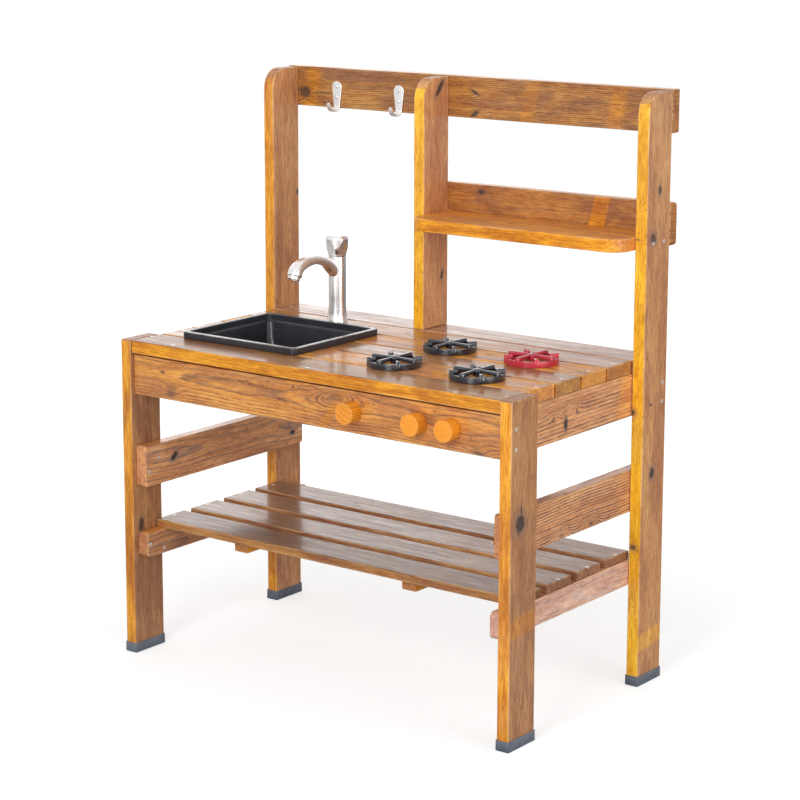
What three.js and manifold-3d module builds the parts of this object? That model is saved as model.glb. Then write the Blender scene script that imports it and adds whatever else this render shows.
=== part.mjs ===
// A child's outdoor play kitchen in stained pine: a slatted worktop on four legs, a drop-in basin
// with a tap, four hob rings, three turning knobs, a lower slatted shelf, and a tall back with an
// upper shelf, a top rail and two coat hooks. Millimetres, +X right, +Y back, +Z up.
import * as THREE from 'three';
import { mergeVertices } from 'three/addons/utils/BufferGeometryUtils.js';
import Module from 'manifold-3d';

const wasm = await Module();
wasm.setup();

// Frame
const frameWidth = 1015;
const frameDepth = 568;
const boardThickness = 28;
const boardWidth = 90;
const boardArris = 2;
const fitGap = 0.3;
const worktopHeight = 697.5;
const legRise = 0.5;
const legTopRadius = 5;
const uprightHeight = 1246;
const uprightCornerRadius = 44;

// Foot caps
const capHeight = 22;
const capFloor = 3;
const capWall = 1.6;
const capCornerRadius = 2.5;

// Worktop and its supports
const leastBoardGap = 3;
const worktopFrontSetback = 3;
const leastStrip = 4;
const apronSetback = 9;
const bearerThickness = 28;

// Side rails and the lower shelf
const middleRailTopShare = 2 / 3;
const middleRailShortening = 37;
const leftRailSetback = 11;
const rightRailSetback = 25;
const middleRailCornerRadius = 6;
const bottomRailDrop = 193;
const bottomRailHeight = 55;
const bottomRailSetback = 13;
const bottomRailCornerRadius = 10;
const slatThickness = 18;
const slatWidth = 88;
const leastSlatGap = 15;
const slatEndGap = 4.5;
const slatFrontSetback = 68;
const slatRearSetback = 82;
const battenWidth = 36;
const battenHeight = 22;
const battenFrontSetback = 16;
const battenRearSetback = 12;
const leftBattenInset = 229;
const rightBattenInset = 272;

// Back: top rail, shelf rail and upper shelf
const topRailRise = 2;
const topRailCornerRadius = 4;
const middleUprightGap = 12.5;
const shelfBelowMiddle = 2.75;
const shelfDepth = 150;
const shelfCornerRadius = 40;
const shelfRailCornerRadius = 8;

// Basin
const basinInset = 254;
const rimWidthX = 316;
const rimDepthY = 290;
const rimHeight = 15;
const rimBand = 12;
const rimLap = 7.5;
const rimCornerRadius = 14;
const rimEdgeRadius = 2.5;
const basinWall = 3;
const basinStepDrop = 14;
const basinStepIn = 3;
const basinDepth = 125;
const basinDraft = 14;
const basinFloorRadius = 12;
const cutoutGap = 1;

// Tap
const tapInset = 42.5;
const tapBaseRadius = 24;
const tapBaseFlareHeight = 30;
const tapColumnRadius = 19;
const tapColumnHeight = 152;
const shankRadius = 10;
const shankDrop = 30;
const shankHoleGap = 1.5;
const nutAcrossFlats = 30;
const nutHeight = 8;
const spindleRadius = 5;
const spindleHeight = 12;
const handleGap = 0.6;
const handleHeight = 46;
const handleNeckRadius = 19.5;
const handleHeadRadius = 24.7;
const handleLobeDepth = 3.2;
const handleEdgeRadius = 4;
const spoutRootHeight = 127;
const spoutRootHalfHeight = 15.5;
const spoutRootHalfWidth = 12;
const spoutCrestReach = 87;
const spoutCrestHeight = 148;
const spoutCrestHalfHeight = 7.5;
const spoutCrestHalfWidth = 12.5;
const spoutBendReach = 128;
const spoutBendHeight = 146;
const spoutTipReach = 156;
const spoutTipHeight = 125;
const spoutTipRadius = 13.5;
const spoutBoreRadius = 9;
const spoutBoreDepth = 10;
const aeratorRadius = 12.3;
const aeratorLength = 8;

// Hob rings, in two columns about the middle of the boards beside the basin
const hobGroupShift = 35.5;
const hobSpacing = 205;
const hobFrontInset = 39;
const hobRearInset = 41;
const hobRadius = 57;
const hobRingBand = 7;
const hobRingHeight = 12.5;
const hobTopHeight = 19;
const hobLugWidth = 12;
const hobLugLength = 17;
const hobRibWidth = 13;
const hobRibTipWidth = 5;
const hobRibHeight = 9;
const hobRibTipHeight = 5;
const hobRibInset = 3;
const hobHubRadius = 9;
const hobHubBase = 6;
const hobScrewRadius = 2;
const hobScrewHeadRadius = 4;
const hobScrewHeadHeight = 2.4;
const hobScrewDepth = 18;
const hobBevel = 1;

// Turning knobs, placed from the middle of the hob rings
const knobOffsets = { left: -109.5, middle: 52.5, right: 133.5 };
const knobRadius = 22;
const knobLength = 30;
const knobBevel = 1;
const knobGap = 0.5;
const knobScrewRadius = 2.5;
const knobScrewBite = 20;
const knobScrewHeadRadius = 5.5;
const knobScrewHeadHeight = 3;

// Coat hooks, placed from the middle of the gap between the left and the middle upright
const hookOffsets = { left: -85.25, right: 90.25 };
const hookTopInset = 29;
const hookPlateHeight = 54;
const hookPlateWidth = 28;
const hookNeckWidth = 18;
const hookThickness = 2.2;
const hookReach = 33;
const hookDrop = 68;
const hookTipRise = 22;
const hookTipWidth = 10;
const hookBendReachShares = [1 / 5, 1 / 2, 4 / 5];
const hookBendRiseShare = 1 / 3;
const hookScrewInset = 12;
const hookScrewPitch = 24;
const hookScrewRadius = 2;
const hookScrewHeadRadius = 4.4;
const hookScrewHeadHeight = 2;
const hookScrewDepth = 16;

// Counts of facets and the overrun that clears a cut's faces
const roundSides = 32;
const smallSides = 14;
const arcSteps = 3;
const cornerSteps = 4;
const spoutSides = 20;
const spoutRings = 12;
const hookRings = 9;
const cutOverrun = 5;

// Materials
function finish(hex, roughness, metalness = 0) {
  return new THREE.MeshStandardMaterial({ color: new THREE.Color(hex), roughness, metalness });
}
const stainedPine = finish('#b5702c', 0.45);
const turnedPine = finish('#f0a030', 0.5);
const blackPlastic = finish('#222225', 0.4);
const blackGloss = finish('#2b2d30', 0.35);
const redGloss = finish('#b01a34', 0.4);
const brushedSteel = finish('#c9c4bd', 0.3, 1);
const satinSteel = finish('#c8c6c2', 0.35, 1);
const zincPlate = finish('#b9bcc0', 0.4, 1);

const kitchen = new THREE.Group();

// How a piece made in its own XY plane is turned into place
const lying = new THREE.Quaternion();
const facingFront = new THREE.Quaternion().setFromEuler(new THREE.Euler(Math.PI / 2, 0, 0));
const facingSide = new THREE.Quaternion().setFromRotationMatrix(new THREE.Matrix4().makeBasis(
  new THREE.Vector3(0, 1, 0), new THREE.Vector3(0, 0, 1), new THREE.Vector3(1, 0, 0)));

function place(name, geometry, material, x, y, z, turn = lying) {
  const mesh = new THREE.Mesh(geometry, material);
  mesh.name = name;
  mesh.position.set(x, y, z);
  mesh.quaternion.copy(turn);
  kitchen.add(mesh);
  return mesh;
}

// Joins and cuts between closed meshes
function solidOf(geometry) {
  const bare = geometry.clone();
  bare.deleteAttribute('normal');
  bare.deleteAttribute('uv');
  const merged = mergeVertices(bare);
  return new wasm.Manifold(new wasm.Mesh({
    numProp: 3,
    vertProperties: new Float32Array(merged.attributes.position.array),
    triVerts: new Uint32Array(merged.index.array),
  }));
}
function geometryOf(solid) {
  const mesh = solid.getMesh();
  const geometry = new THREE.BufferGeometry();
  geometry.setAttribute('position', new THREE.BufferAttribute(mesh.vertProperties, mesh.numProp));
  geometry.setIndex(new THREE.BufferAttribute(mesh.triVerts, 1));
  geometry.computeVertexNormals();
  return geometry;
}
function cut(geometry, tools) {
  return geometryOf(tools.reduce((solid, tool) => solid.subtract(solidOf(tool)), solidOf(geometry)));
}
function join(geometries) {
  return geometryOf(geometries.map(solidOf).reduce((a, b) => a.add(b)));
}

// A rectangle from its lower left corner, with one radius for each corner, from there round
function outline(width, height, radii = [0, 0, 0, 0]) {
  const shape = new THREE.Shape();
  const [lowerLeft, lowerRight, upperRight, upperLeft] = radii;
  shape.moveTo(lowerLeft, 0);
  shape.lineTo(width - lowerRight, 0);
  if (lowerRight) shape.absarc(width - lowerRight, lowerRight, lowerRight, -Math.PI / 2, 0);
  shape.lineTo(width, height - upperRight);
  if (upperRight) shape.absarc(width - upperRight, height - upperRight, upperRight, 0, Math.PI / 2);
  shape.lineTo(upperLeft, height);
  if (upperLeft) shape.absarc(upperLeft, height - upperLeft, upperLeft, Math.PI / 2, Math.PI);
  shape.lineTo(0, lowerLeft);
  if (lowerLeft) shape.absarc(lowerLeft, lowerLeft, lowerLeft, Math.PI, Math.PI * 3 / 2);
  return shape;
}

// A board of the given outline: its face edges are eased by the arris
function plank(shape, thickness, arris = boardArris) {
  const geometry = new THREE.ExtrudeGeometry(shape, {
    depth: thickness - 2 * arris,
    bevelEnabled: true,
    bevelThickness: arris,
    bevelSize: arris,
    bevelOffset: -arris,
    bevelSegments: 1,
    curveSegments: arcSteps,
  });
  geometry.translate(0, 0, arris);
  return geometry;
}
function block(width, depth, height) {
  return new THREE.BoxGeometry(width, depth, height).translate(width / 2, depth / 2, height / 2);
}

// A closed skin through rings of equally many points, each ring running anticlockwise
// when it is seen against the direction in which the rings follow each other
function loft(rings) {
  const count = rings[0].length;
  const points = rings.flat();
  const faces = [];
  for (let i = 1; i < count - 1; i++) faces.push(0, i + 1, i);
  for (let ring = 0; ring < rings.length - 1; ring++) {
    for (let i = 0; i < count; i++) {
      const a = ring * count + i;
      const b = ring * count + (i + 1) % count;
      faces.push(a, b, b + count, a, b + count, a + count);
    }
  }
  const last = (rings.length - 1) * count;
  for (let i = 1; i < count - 1; i++) faces.push(last, last + i, last + i + 1);
  const geometry = new THREE.BufferGeometry();
  geometry.setAttribute('position', new THREE.Float32BufferAttribute(points.flat(), 3));
  geometry.setIndex(faces);
  geometry.computeVertexNormals();
  return geometry;
}

// The spine of a bent bar in the YZ plane, with a section that grows or tapers along it
function bentBar(spine, unitSection, halfWidthAt, halfHeightAt, ringCount) {
  const rings = [];
  for (let i = 0; i <= ringCount; i++) {
    const along = i / ringCount;
    const point = spine.getPointAt(along);
    const heading = spine.getTangentAt(along);
    const up = new THREE.Vector3(0, heading.z, -heading.y);
    rings.push(unitSection.map(([across, over]) => [
      point.x + across * halfWidthAt(along),
      point.y + up.y * over * halfHeightAt(along),
      point.z + up.z * over * halfHeightAt(along),
    ]));
  }
  return loft(rings);
}
const unitRectangle = [[1, 1], [-1, 1], [-1, -1], [1, -1]];
function unitCircle(sides) {
  return Array.from({ length: sides }, (_, i) => {
    const angle = i / sides * Math.PI * 2;
    return [Math.cos(angle), Math.sin(angle)];
  });
}
function steps(values) {
  return (along) => {
    const scaled = along * (values.length - 1);
    const low = Math.min(Math.floor(scaled), values.length - 2);
    return THREE.MathUtils.lerp(values[low], values[low + 1], scaled - low);
  };
}

// A rod along +Z from its foot
function rod(radius, length, sides = smallSides) {
  return new THREE.CylinderGeometry(radius, radius, length, sides)
    .rotateX(Math.PI / 2).translate(0, 0, length / 2);
}
function turned(profile, sides = roundSides) {
  const points = profile.map(([radius, height]) => new THREE.Vector2(radius, height));
  return new THREE.LatheGeometry(points, sides).rotateX(Math.PI / 2);
}

// A pan-head screw that points down from its seat at the origin
function screw(shankR, depth, headR, headHeight) {
  return turned([
    [0, -depth], [shankR, -depth + shankR], [shankR, 0], [headR, 0],
    [headR, headHeight / 2], [headR / 2, headHeight], [0, headHeight],
  ], smallSides);
}

// Places that the frame's pieces share
function offsetsFrom(origin, offsets) {
  return Object.fromEntries(Object.entries(offsets).map(([side, offset]) => [side, origin + offset]));
}
const halfWidth = frameWidth / 2;
const innerX = halfWidth - boardThickness;
const boardEndX = innerX - fitGap;
const frontY = -frameDepth / 2;
const rearY = frameDepth / 2;
const worktopUnderside = worktopHeight - boardThickness;
const apronTop = worktopUnderside - fitGap;
const apronBottom = apronTop - boardWidth;
const frontApronY = frontY + apronSetback;
const bearingLength = frameDepth - apronSetback - 2 * boardThickness - 2 * fitGap;
const bearingFrontY = frontApronY + boardThickness + fitGap;
const basinCentreX = basinInset - halfWidth;
const rimRightX = basinCentreX + rimWidthX / 2;
const middleLeftX = rimRightX + middleUprightGap;
const middleRightX = middleLeftX + boardThickness;
const hobGroupX = (rimRightX + innerX) / 2 + hobGroupShift;
const knobPlaces = offsetsFrom(hobGroupX, knobOffsets);
const hookPlaces = offsetsFrom((middleLeftX - innerX) / 2, hookOffsets);

// Legs, uprights and foot caps
function legs() {
  const legFoot = capFloor + fitGap;
  const corners = [
    ['leg_front_left', -halfWidth, frontY, worktopHeight + legRise, legTopRadius, legTopRadius],
    ['leg_front_right', innerX, frontY, worktopHeight + legRise, legTopRadius, legTopRadius],
    ['upright_rear_left', -halfWidth, rearY - boardWidth, uprightHeight, 0, uprightCornerRadius],
    ['upright_rear_right', innerX, rearY - boardWidth, uprightHeight, 0, uprightCornerRadius],
  ];
  for (const [name, x, y, top, rearRadius, frontRadius] of corners) {
    const shape = outline(boardWidth, top - legFoot, [0, 0, rearRadius, frontRadius]);
    place(name, plank(shape, boardThickness), stainedPine, x, y, legFoot, facingSide);
    const capName = name.replace('leg', 'foot_cap').replace('upright', 'foot_cap');
    place(capName, footCap(), blackPlastic, x - capWall - fitGap, y - capWall - fitGap, 0);
  }
  const middle = outline(boardWidth, uprightHeight - worktopHeight - fitGap,
    [0, 0, 0, uprightCornerRadius]);
  place('upright_middle', plank(middle, boardThickness), stainedPine,
    middleLeftX, rearY - boardWidth, worktopHeight + fitGap, facingSide);
}
function footCap() {
  const wall = capWall + fitGap;
  const radii = Array(4).fill(capCornerRadius);
  const outside = new THREE.ExtrudeGeometry(
    outline(boardThickness + 2 * wall, boardWidth + 2 * wall, radii),
    { depth: capHeight, bevelEnabled: false, curveSegments: 1 });
  const inside = block(boardThickness + 2 * fitGap, boardWidth + 2 * fitGap, capHeight)
    .translate(capWall, capWall, capFloor);
  return cut(outside, [inside]);
}

// Aprons and the bearer that carries the boards beside the basin
function aprons() {
  const long = outline(2 * boardEndX, boardWidth);
  const short = outline(bearingLength, boardWidth);
  const front = cut(plank(long, boardThickness), Object.values(knobPlaces).map((x) =>
    rod(knobScrewRadius + fitGap, boardThickness + 2 * cutOverrun)
      .translate(x + boardEndX, boardWidth / 2, -cutOverrun)));
  place('apron_front', front, stainedPine, -boardEndX, frontApronY + boardThickness, apronBottom,
    facingFront);
  place('apron_rear', plank(long, boardThickness), stainedPine, -boardEndX, rearY, apronBottom,
    facingFront);
  const bearings = [
    ['apron_left', -boardEndX, boardThickness],
    ['apron_right', boardEndX - boardThickness, boardThickness],
    ['worktop_bearer', middleLeftX, bearerThickness],
  ];
  for (const [name, x, thickness] of bearings) {
    place(name, plank(short, thickness), stainedPine, x, bearingFrontY, apronBottom, facingSide);
  }
}

// As many boards as a length holds, with at least a given gap between them
function countAcross(length, width, leastGap) {
  return Math.floor((length + leastGap) / (width + leastGap));
}

// Board and basin places: the boards' cut-out follows the basin, the tap and the hobs their boards
const worktopFrontY = frontY + worktopFrontSetback;
const worktopDepth = rearY - worktopFrontY;
const worktopBoardCount = countAcross(worktopDepth, boardWidth, leastBoardGap);
const worktopPitch = (worktopDepth - boardWidth) / (worktopBoardCount - 1);
function boardFrontY(index) {
  return worktopFrontY + index * worktopPitch;
}
const rimFrontY = worktopFrontY + boardWidth - rimLap;
const basinCentreY = rimFrontY + rimDepthY / 2;
const mouthHalfX = rimWidthX / 2 - rimBand;
const mouthHalfY = rimDepthY / 2 - rimBand;
const cutoutHalfX = mouthHalfX + basinWall + cutoutGap;
const cutoutHalfY = mouthHalfY + basinWall + cutoutGap;
const tapBoard = Math.ceil((rimFrontY + rimDepthY - worktopFrontY) / worktopPitch);
const tapY = boardFrontY(tapBoard) + tapInset;

// Worktop boards: the cut-out parts a board that it crosses and notches one that it enters
function worktop() {
  const cutLeft = basinCentreX - cutoutHalfX;
  const cutRight = basinCentreX + cutoutHalfX;
  const cutFront = basinCentreY - cutoutHalfY;
  const cutRear = basinCentreY + cutoutHalfY;
  for (let i = 0; i < worktopBoardCount; i++) {
    const front = boardFrontY(i);
    const rear = front + boardWidth;
    const crossed = front >= cutFront - leastStrip && rear <= cutRear + leastStrip;
    const stretches = crossed
      ? [['_left', -boardEndX, cutLeft], ['_right', cutRight, boardEndX]]
      : [['', -boardEndX, boardEndX]];
    for (const [side, low, high] of stretches) {
      const tools = [];
      if (!crossed && rear > cutFront && front < cutRear) {
        tools.push(block(cutRight - cutLeft, cutRear - cutFront, boardThickness + 2 * cutOverrun)
          .translate(cutLeft - low, cutFront - front, -cutOverrun));
      }
      for (const [, x, y] of hobPlaces()) {
        if (x < low || x > high || y < front || y > rear) continue;
        tools.push(rod(hobScrewRadius + fitGap, hobScrewDepth + cutOverrun)
          .translate(x - low, y - front, boardThickness - hobScrewDepth));
      }
      if (i === tapBoard) {
        tools.push(rod(shankRadius + shankHoleGap, boardThickness + 2 * cutOverrun, roundSides)
          .translate(basinCentreX - low, tapY - front, -cutOverrun));
      }
      const board = plank(outline(high - low, boardWidth), boardThickness);
      place(`worktop_board_${i + 1}${side}`, tools.length ? cut(board, tools) : board, stainedPine,
        low, front, worktopUnderside);
    }
  }
}

// Side rails at mid height and at the foot, then the slats and battens of the lower shelf
const middleRailTop = worktopHeight * middleRailTopShare;
const bottomRailTop = middleRailTop - bottomRailDrop;
function rails() {
  const middle = outline(frameDepth - middleRailShortening, boardWidth,
    Array(4).fill(middleRailCornerRadius));
  const bottom = outline(frameDepth - 2 * bottomRailSetback, bottomRailHeight,
    Array(4).fill(bottomRailCornerRadius));
  const sides = [['left', -boardEndX, leftRailSetback],
    ['right', boardEndX - boardThickness, rightRailSetback]];
  for (const [side, x, setback] of sides) {
    place(`middle_rail_${side}`, plank(middle, boardThickness), stainedPine,
      x, frontY + setback, middleRailTop - boardWidth, facingSide);
    place(`bottom_rail_${side}`, plank(bottom, boardThickness), stainedPine,
      x, frontY + bottomRailSetback, bottomRailTop - bottomRailHeight, facingSide);
  }
}
function lowerShelf() {
  const slatFrontY = frontY + slatFrontSetback;
  const slatEndX = innerX - slatEndGap;
  const slatRearY = rearY - slatRearSetback;
  const slatCount = countAcross(slatRearY - slatFrontY, slatWidth, leastSlatGap);
  const slatPitch = (slatRearY - slatFrontY - slatWidth) / (slatCount - 1);
  for (let i = 0; i < slatCount; i++) {
    place(`shelf_slat_${i + 1}`, plank(outline(2 * slatEndX, slatWidth), slatThickness), stainedPine,
      -slatEndX, slatFrontY + i * slatPitch, bottomRailTop + fitGap);
  }
  const battenLength = slatRearY - battenRearSetback - slatFrontY - battenFrontSetback;
  const battens = [['left', leftBattenInset - slatEndX], ['right', slatEndX - rightBattenInset]];
  for (const [side, x] of battens) {
    place(`shelf_batten_${side}`, plank(outline(battenWidth, battenLength), battenHeight), stainedPine,
      x - battenWidth / 2, slatFrontY + battenFrontSetback, bottomRailTop - battenHeight);
  }
}

// Top rail, shelf rail and upper shelf
const railFrontY = rearY + fitGap;
const topRailTop = uprightHeight + topRailRise;
const topRailBottom = topRailTop - boardWidth;
const shelfUnderside = (worktopHeight + topRailBottom) / 2 - shelfBelowMiddle;
const hookTop = topRailTop - hookTopInset;
function back() {
  const topRail = outline(frameWidth, boardWidth, [topRailCornerRadius, topRailCornerRadius, 0, 0]);
  const pilots = [];
  for (const x of Object.values(hookPlaces)) {
    for (const z of hookScrewHeights()) {
      pilots.push(rod(hookScrewRadius + fitGap, hookScrewDepth + cutOverrun)
        .translate(x + halfWidth, z - topRailBottom, boardThickness - hookScrewDepth));
    }
  }
  place('top_rail', cut(plank(topRail, boardThickness), pilots), stainedPine,
    -halfWidth, railFrontY + boardThickness, topRailBottom, facingFront);
  const shelfRail = outline(halfWidth - middleLeftX, boardWidth, Array(4).fill(shelfRailCornerRadius));
  place('shelf_rail', plank(shelfRail, boardThickness), stainedPine,
    middleLeftX, railFrontY + boardThickness, shelfUnderside, facingFront);
  const shelf = outline(innerX - middleRightX - 2 * fitGap, shelfDepth,
    [shelfCornerRadius, shelfCornerRadius, 0, 0]);
  place('upper_shelf', plank(shelf, boardThickness), stainedPine,
    middleRightX + fitGap, rearY - shelfDepth, shelfUnderside);
}

// Basin: a thin shell whose rim turns down onto the boards, with a step inside its mouth
function roundedRing(halfX, halfY, radius, z) {
  const points = [];
  const quarters = [[1, -1, -Math.PI / 2], [1, 1, 0], [-1, 1, Math.PI / 2], [-1, -1, Math.PI]];
  for (const [signX, signY, start] of quarters) {
    for (let i = 0; i <= cornerSteps; i++) {
      const angle = start + i / cornerSteps * Math.PI / 2;
      points.push([signX * (halfX - radius) + radius * Math.cos(angle),
        signY * (halfY - radius) + radius * Math.sin(angle), z]);
    }
  }
  return points;
}
function basin() {
  const rimHalfX = rimWidthX / 2;
  const rimHalfY = rimDepthY / 2;
  const top = rimHeight;
  const underRim = fitGap;
  const mouthRadius = rimCornerRadius - rimBand / 2;
  const ring = (inset, z, radius) => roundedRing(rimHalfX - inset, rimHalfY - inset, radius, z);
  const stepZ = top - basinStepDrop;
  const floorZ = top - basinDepth;
  const bowlInset = rimBand + basinStepIn;
  const floorInset = bowlInset + basinDraft;
  const bowlRadius = mouthRadius + basinStepIn;
  const floorRadius = bowlRadius + basinFloorRadius;
  const skin = loft([
    ring(floorInset + basinFloorRadius - basinWall, floorZ - basinWall, floorRadius),
    ring(floorInset - basinWall, floorZ + basinFloorRadius - basinWall, floorRadius + basinWall),
    ring(bowlInset - basinWall, stepZ - basinWall, bowlRadius + basinWall),
    ring(rimBand - basinWall, stepZ - basinWall / 2, mouthRadius + basinWall),
    ring(rimBand - basinWall, top - basinWall, mouthRadius + basinWall),
    ring(basinWall, top - basinWall, rimCornerRadius - basinWall),
    ring(basinWall, underRim, rimCornerRadius - basinWall),
    ring(0, underRim, rimCornerRadius),
    ring(0, top - rimEdgeRadius, rimCornerRadius),
    ring(rimEdgeRadius, top, rimCornerRadius - rimEdgeRadius),
    ring(rimBand - rimEdgeRadius, top, mouthRadius + rimEdgeRadius),
    ring(rimBand, top - rimEdgeRadius, mouthRadius),
    ring(rimBand, stepZ, mouthRadius),
    ring(bowlInset, stepZ - basinStepIn, bowlRadius),
    ring(floorInset, floorZ + basinFloorRadius, floorRadius),
    ring(floorInset + basinFloorRadius, floorZ, floorRadius),
  ]);
  place('sink_basin', skin, blackPlastic, basinCentreX, basinCentreY, worktopHeight);
}

// Tap: column, spout and threaded shank in one casting, with its handle, aerator and lock nut
function tap() {
  const columnTop = tapColumnHeight - handleGap;
  const column = turned([
    [0, -boardThickness - shankDrop],
    [shankRadius, -boardThickness - shankDrop],
    [shankRadius, fitGap],
    [tapBaseRadius, fitGap],
    [(tapBaseRadius + tapColumnRadius) / 2, tapBaseFlareHeight / 2],
    [tapColumnRadius, tapBaseFlareHeight],
    [tapColumnRadius, columnTop],
    [spindleRadius, columnTop],
    [spindleRadius, columnTop + spindleHeight],
    [0, columnTop + spindleHeight],
  ]);
  const spine = new THREE.CatmullRomCurve3([
    new THREE.Vector3(0, 0, spoutRootHeight - spoutRootHalfHeight),
    new THREE.Vector3(0, -tapColumnRadius, spoutRootHeight),
    new THREE.Vector3(0, -spoutCrestReach, spoutCrestHeight),
    new THREE.Vector3(0, -spoutBendReach, spoutBendHeight),
    new THREE.Vector3(0, -spoutTipReach, spoutTipHeight),
  ]);
  const halfWidths = [spoutRootHalfWidth, spoutRootHalfWidth,
    spoutCrestHalfWidth, spoutCrestHalfWidth, spoutTipRadius];
  const halfHeights = [spoutRootHalfHeight, spoutRootHalfHeight,
    spoutCrestHalfHeight, spoutCrestHalfHeight, spoutTipRadius];
  const arm = bentBar(spine, unitCircle(spoutSides), steps(halfWidths), steps(halfHeights), spoutRings);
  const tip = spine.getPointAt(1);
  const heading = spine.getTangentAt(1);
  const along = new THREE.Quaternion().setFromUnitVectors(new THREE.Vector3(0, 0, 1), heading);
  const bore = rod(spoutBoreRadius, spoutBoreDepth + cutOverrun, spoutSides)
    .translate(0, 0, -spoutBoreDepth).applyQuaternion(along).translate(tip.x, tip.y, tip.z);
  place('tap_body', cut(join([column, arm]), [bore]), brushedSteel,
    basinCentreX, tapY, worktopHeight);

  const ring = turned([
    [spoutBoreRadius, 0], [aeratorRadius, 0], [aeratorRadius, aeratorLength],
    [spoutBoreRadius, aeratorLength], [spoutBoreRadius, 0],
  ], spoutSides);
  const seat = tip.clone().addScaledVector(heading, fitGap);
  place('tap_aerator', ring, satinSteel,
    basinCentreX + seat.x, tapY + seat.y, worktopHeight + seat.z, along);

  const nut = cut(rod(nutAcrossFlats / Math.sqrt(3), nutHeight, 6),
    [rod(shankRadius + fitGap, nutHeight + 2 * cutOverrun, roundSides).translate(0, 0, -cutOverrun)]);
  place('tap_lock_nut', nut, zincPlate, basinCentreX, tapY, worktopUnderside - fitGap - nutHeight);
  place('tap_handle', tapHandle(), brushedSteel, basinCentreX, tapY, worktopHeight + tapColumnHeight);
}
// The handle swells from its neck to its head, with four lobes between four scallops
function tapHandle() {
  const levels = [
    [0, handleNeckRadius, 0],
    [handleHeight / 4, handleNeckRadius, 0],
    [handleHeight / 2, (handleNeckRadius + handleHeadRadius) / 2, handleLobeDepth],
    [handleHeight * 3 / 4, handleHeadRadius, handleLobeDepth],
    [handleHeight - handleEdgeRadius, handleHeadRadius, handleLobeDepth / 2],
    [handleHeight, handleHeadRadius - handleEdgeRadius, 0],
  ];
  const rings = levels.map(([z, radius, depth]) => unitCircle(roundSides).map(([x, y]) => {
    const scallop = (1 - Math.cos(4 * Math.atan2(y, x))) / 2;
    const reach = radius - depth * scallop;
    return [x * reach, y * reach, z];
  }));
  return cut(loft(rings), [rod(spindleRadius + fitGap, spindleHeight + cutOverrun)
    .translate(0, 0, -cutOverrun)]);
}

// Hob rings: four long ribs square to the worktop, four short lugs between them, and a hub
function hobPlaces() {
  const leftX = hobGroupX - hobSpacing / 2;
  const rightX = hobGroupX + hobSpacing / 2;
  const frontHobY = boardFrontY(1) + hobFrontInset;
  const rearHobY = boardFrontY(3) + hobRearInset;
  return [
    ['front_left', leftX, frontHobY, blackGloss],
    ['rear_left', leftX, rearHobY, blackGloss],
    ['front_right', rightX, frontHobY, blackGloss],
    ['rear_right', rightX, rearHobY, redGloss],
  ];
}
function hobRing() {
  const inner = hobRadius - hobRingBand;
  const pieces = [turned([
    [inner, 0], [hobRadius, 0], [hobRadius, hobRingHeight - hobBevel],
    [hobRadius - hobBevel, hobRingHeight], [inner, hobRingHeight], [inner, 0],
  ])];
  const hub = turned([[0, hobHubBase], [hobHubRadius, hobHubBase],
    [hobHubRadius, hobTopHeight - hobBevel], [0, hobTopHeight - hobBevel]], smallSides);
  pieces.push(hub);
  const across = (halfWide, low, high, reach) =>
    [[reach, -halfWide, low], [reach, halfWide, low], [reach, halfWide, high], [reach, -halfWide, high]];
  for (let quarter = 0; quarter < 4; quarter++) {
    const rib = loft([
      across(hobRibTipWidth / 2, hobTopHeight - hobRibTipHeight, hobTopHeight, 0),
      across(hobRibWidth / 2, hobTopHeight - hobRibHeight, hobTopHeight, hobRadius - hobRibInset),
    ]).rotateZ(quarter * Math.PI / 2);
    const lug = block(hobLugLength, hobLugWidth, hobTopHeight - hobBevel)
      .translate(hobRadius - hobLugLength, -hobLugWidth / 2, hobBevel)
      .rotateZ((quarter + 0.5) * Math.PI / 2);
    pieces.push(rib, lug);
  }
  return cut(join(pieces), [rod(hobScrewRadius + fitGap, hobTopHeight + 2 * cutOverrun)
    .translate(0, 0, -cutOverrun)]);
}
function hobs() {
  for (const [name, x, y, material] of hobPlaces()) {
    place(`hob_${name}`, hobRing(), material, x, y, worktopHeight + fitGap);
    const shank = hobTopHeight + fitGap + hobScrewDepth;
    place(`hob_screw_${name}`, screw(hobScrewRadius, shank, hobScrewHeadRadius, hobScrewHeadHeight),
      zincPlate, x, y, worktopHeight + hobTopHeight + 2 * fitGap);
  }
}

// Knobs turn with their screws, which pass through the front apron from behind
function knobs() {
  const height = apronBottom + boardWidth / 2;
  const knobRearY = frontApronY - knobGap;
  const body = turned([
    [0, 0], [knobRadius - knobBevel, 0], [knobRadius, knobBevel],
    [knobRadius, knobLength - knobBevel], [knobRadius - knobBevel, knobLength], [0, knobLength],
  ]);
  const bored = cut(body, [rod(knobScrewRadius + fitGap, knobScrewBite + fitGap + cutOverrun)
    .translate(0, 0, -cutOverrun)]);
  const screwSeatY = frontApronY + boardThickness + knobGap;
  const depth = boardThickness + 2 * knobGap + knobScrewBite;
  for (const [side, x] of Object.entries(knobPlaces)) {
    place(`knob_${side}`, bored, turnedPine, x, knobRearY, height, facingFront);
    place(`knob_screw_${side}`, screw(knobScrewRadius, depth, knobScrewHeadRadius, knobScrewHeadHeight)
      .rotateX(Math.PI), zincPlate, x, screwSeatY, height, facingFront);
  }
}

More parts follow.
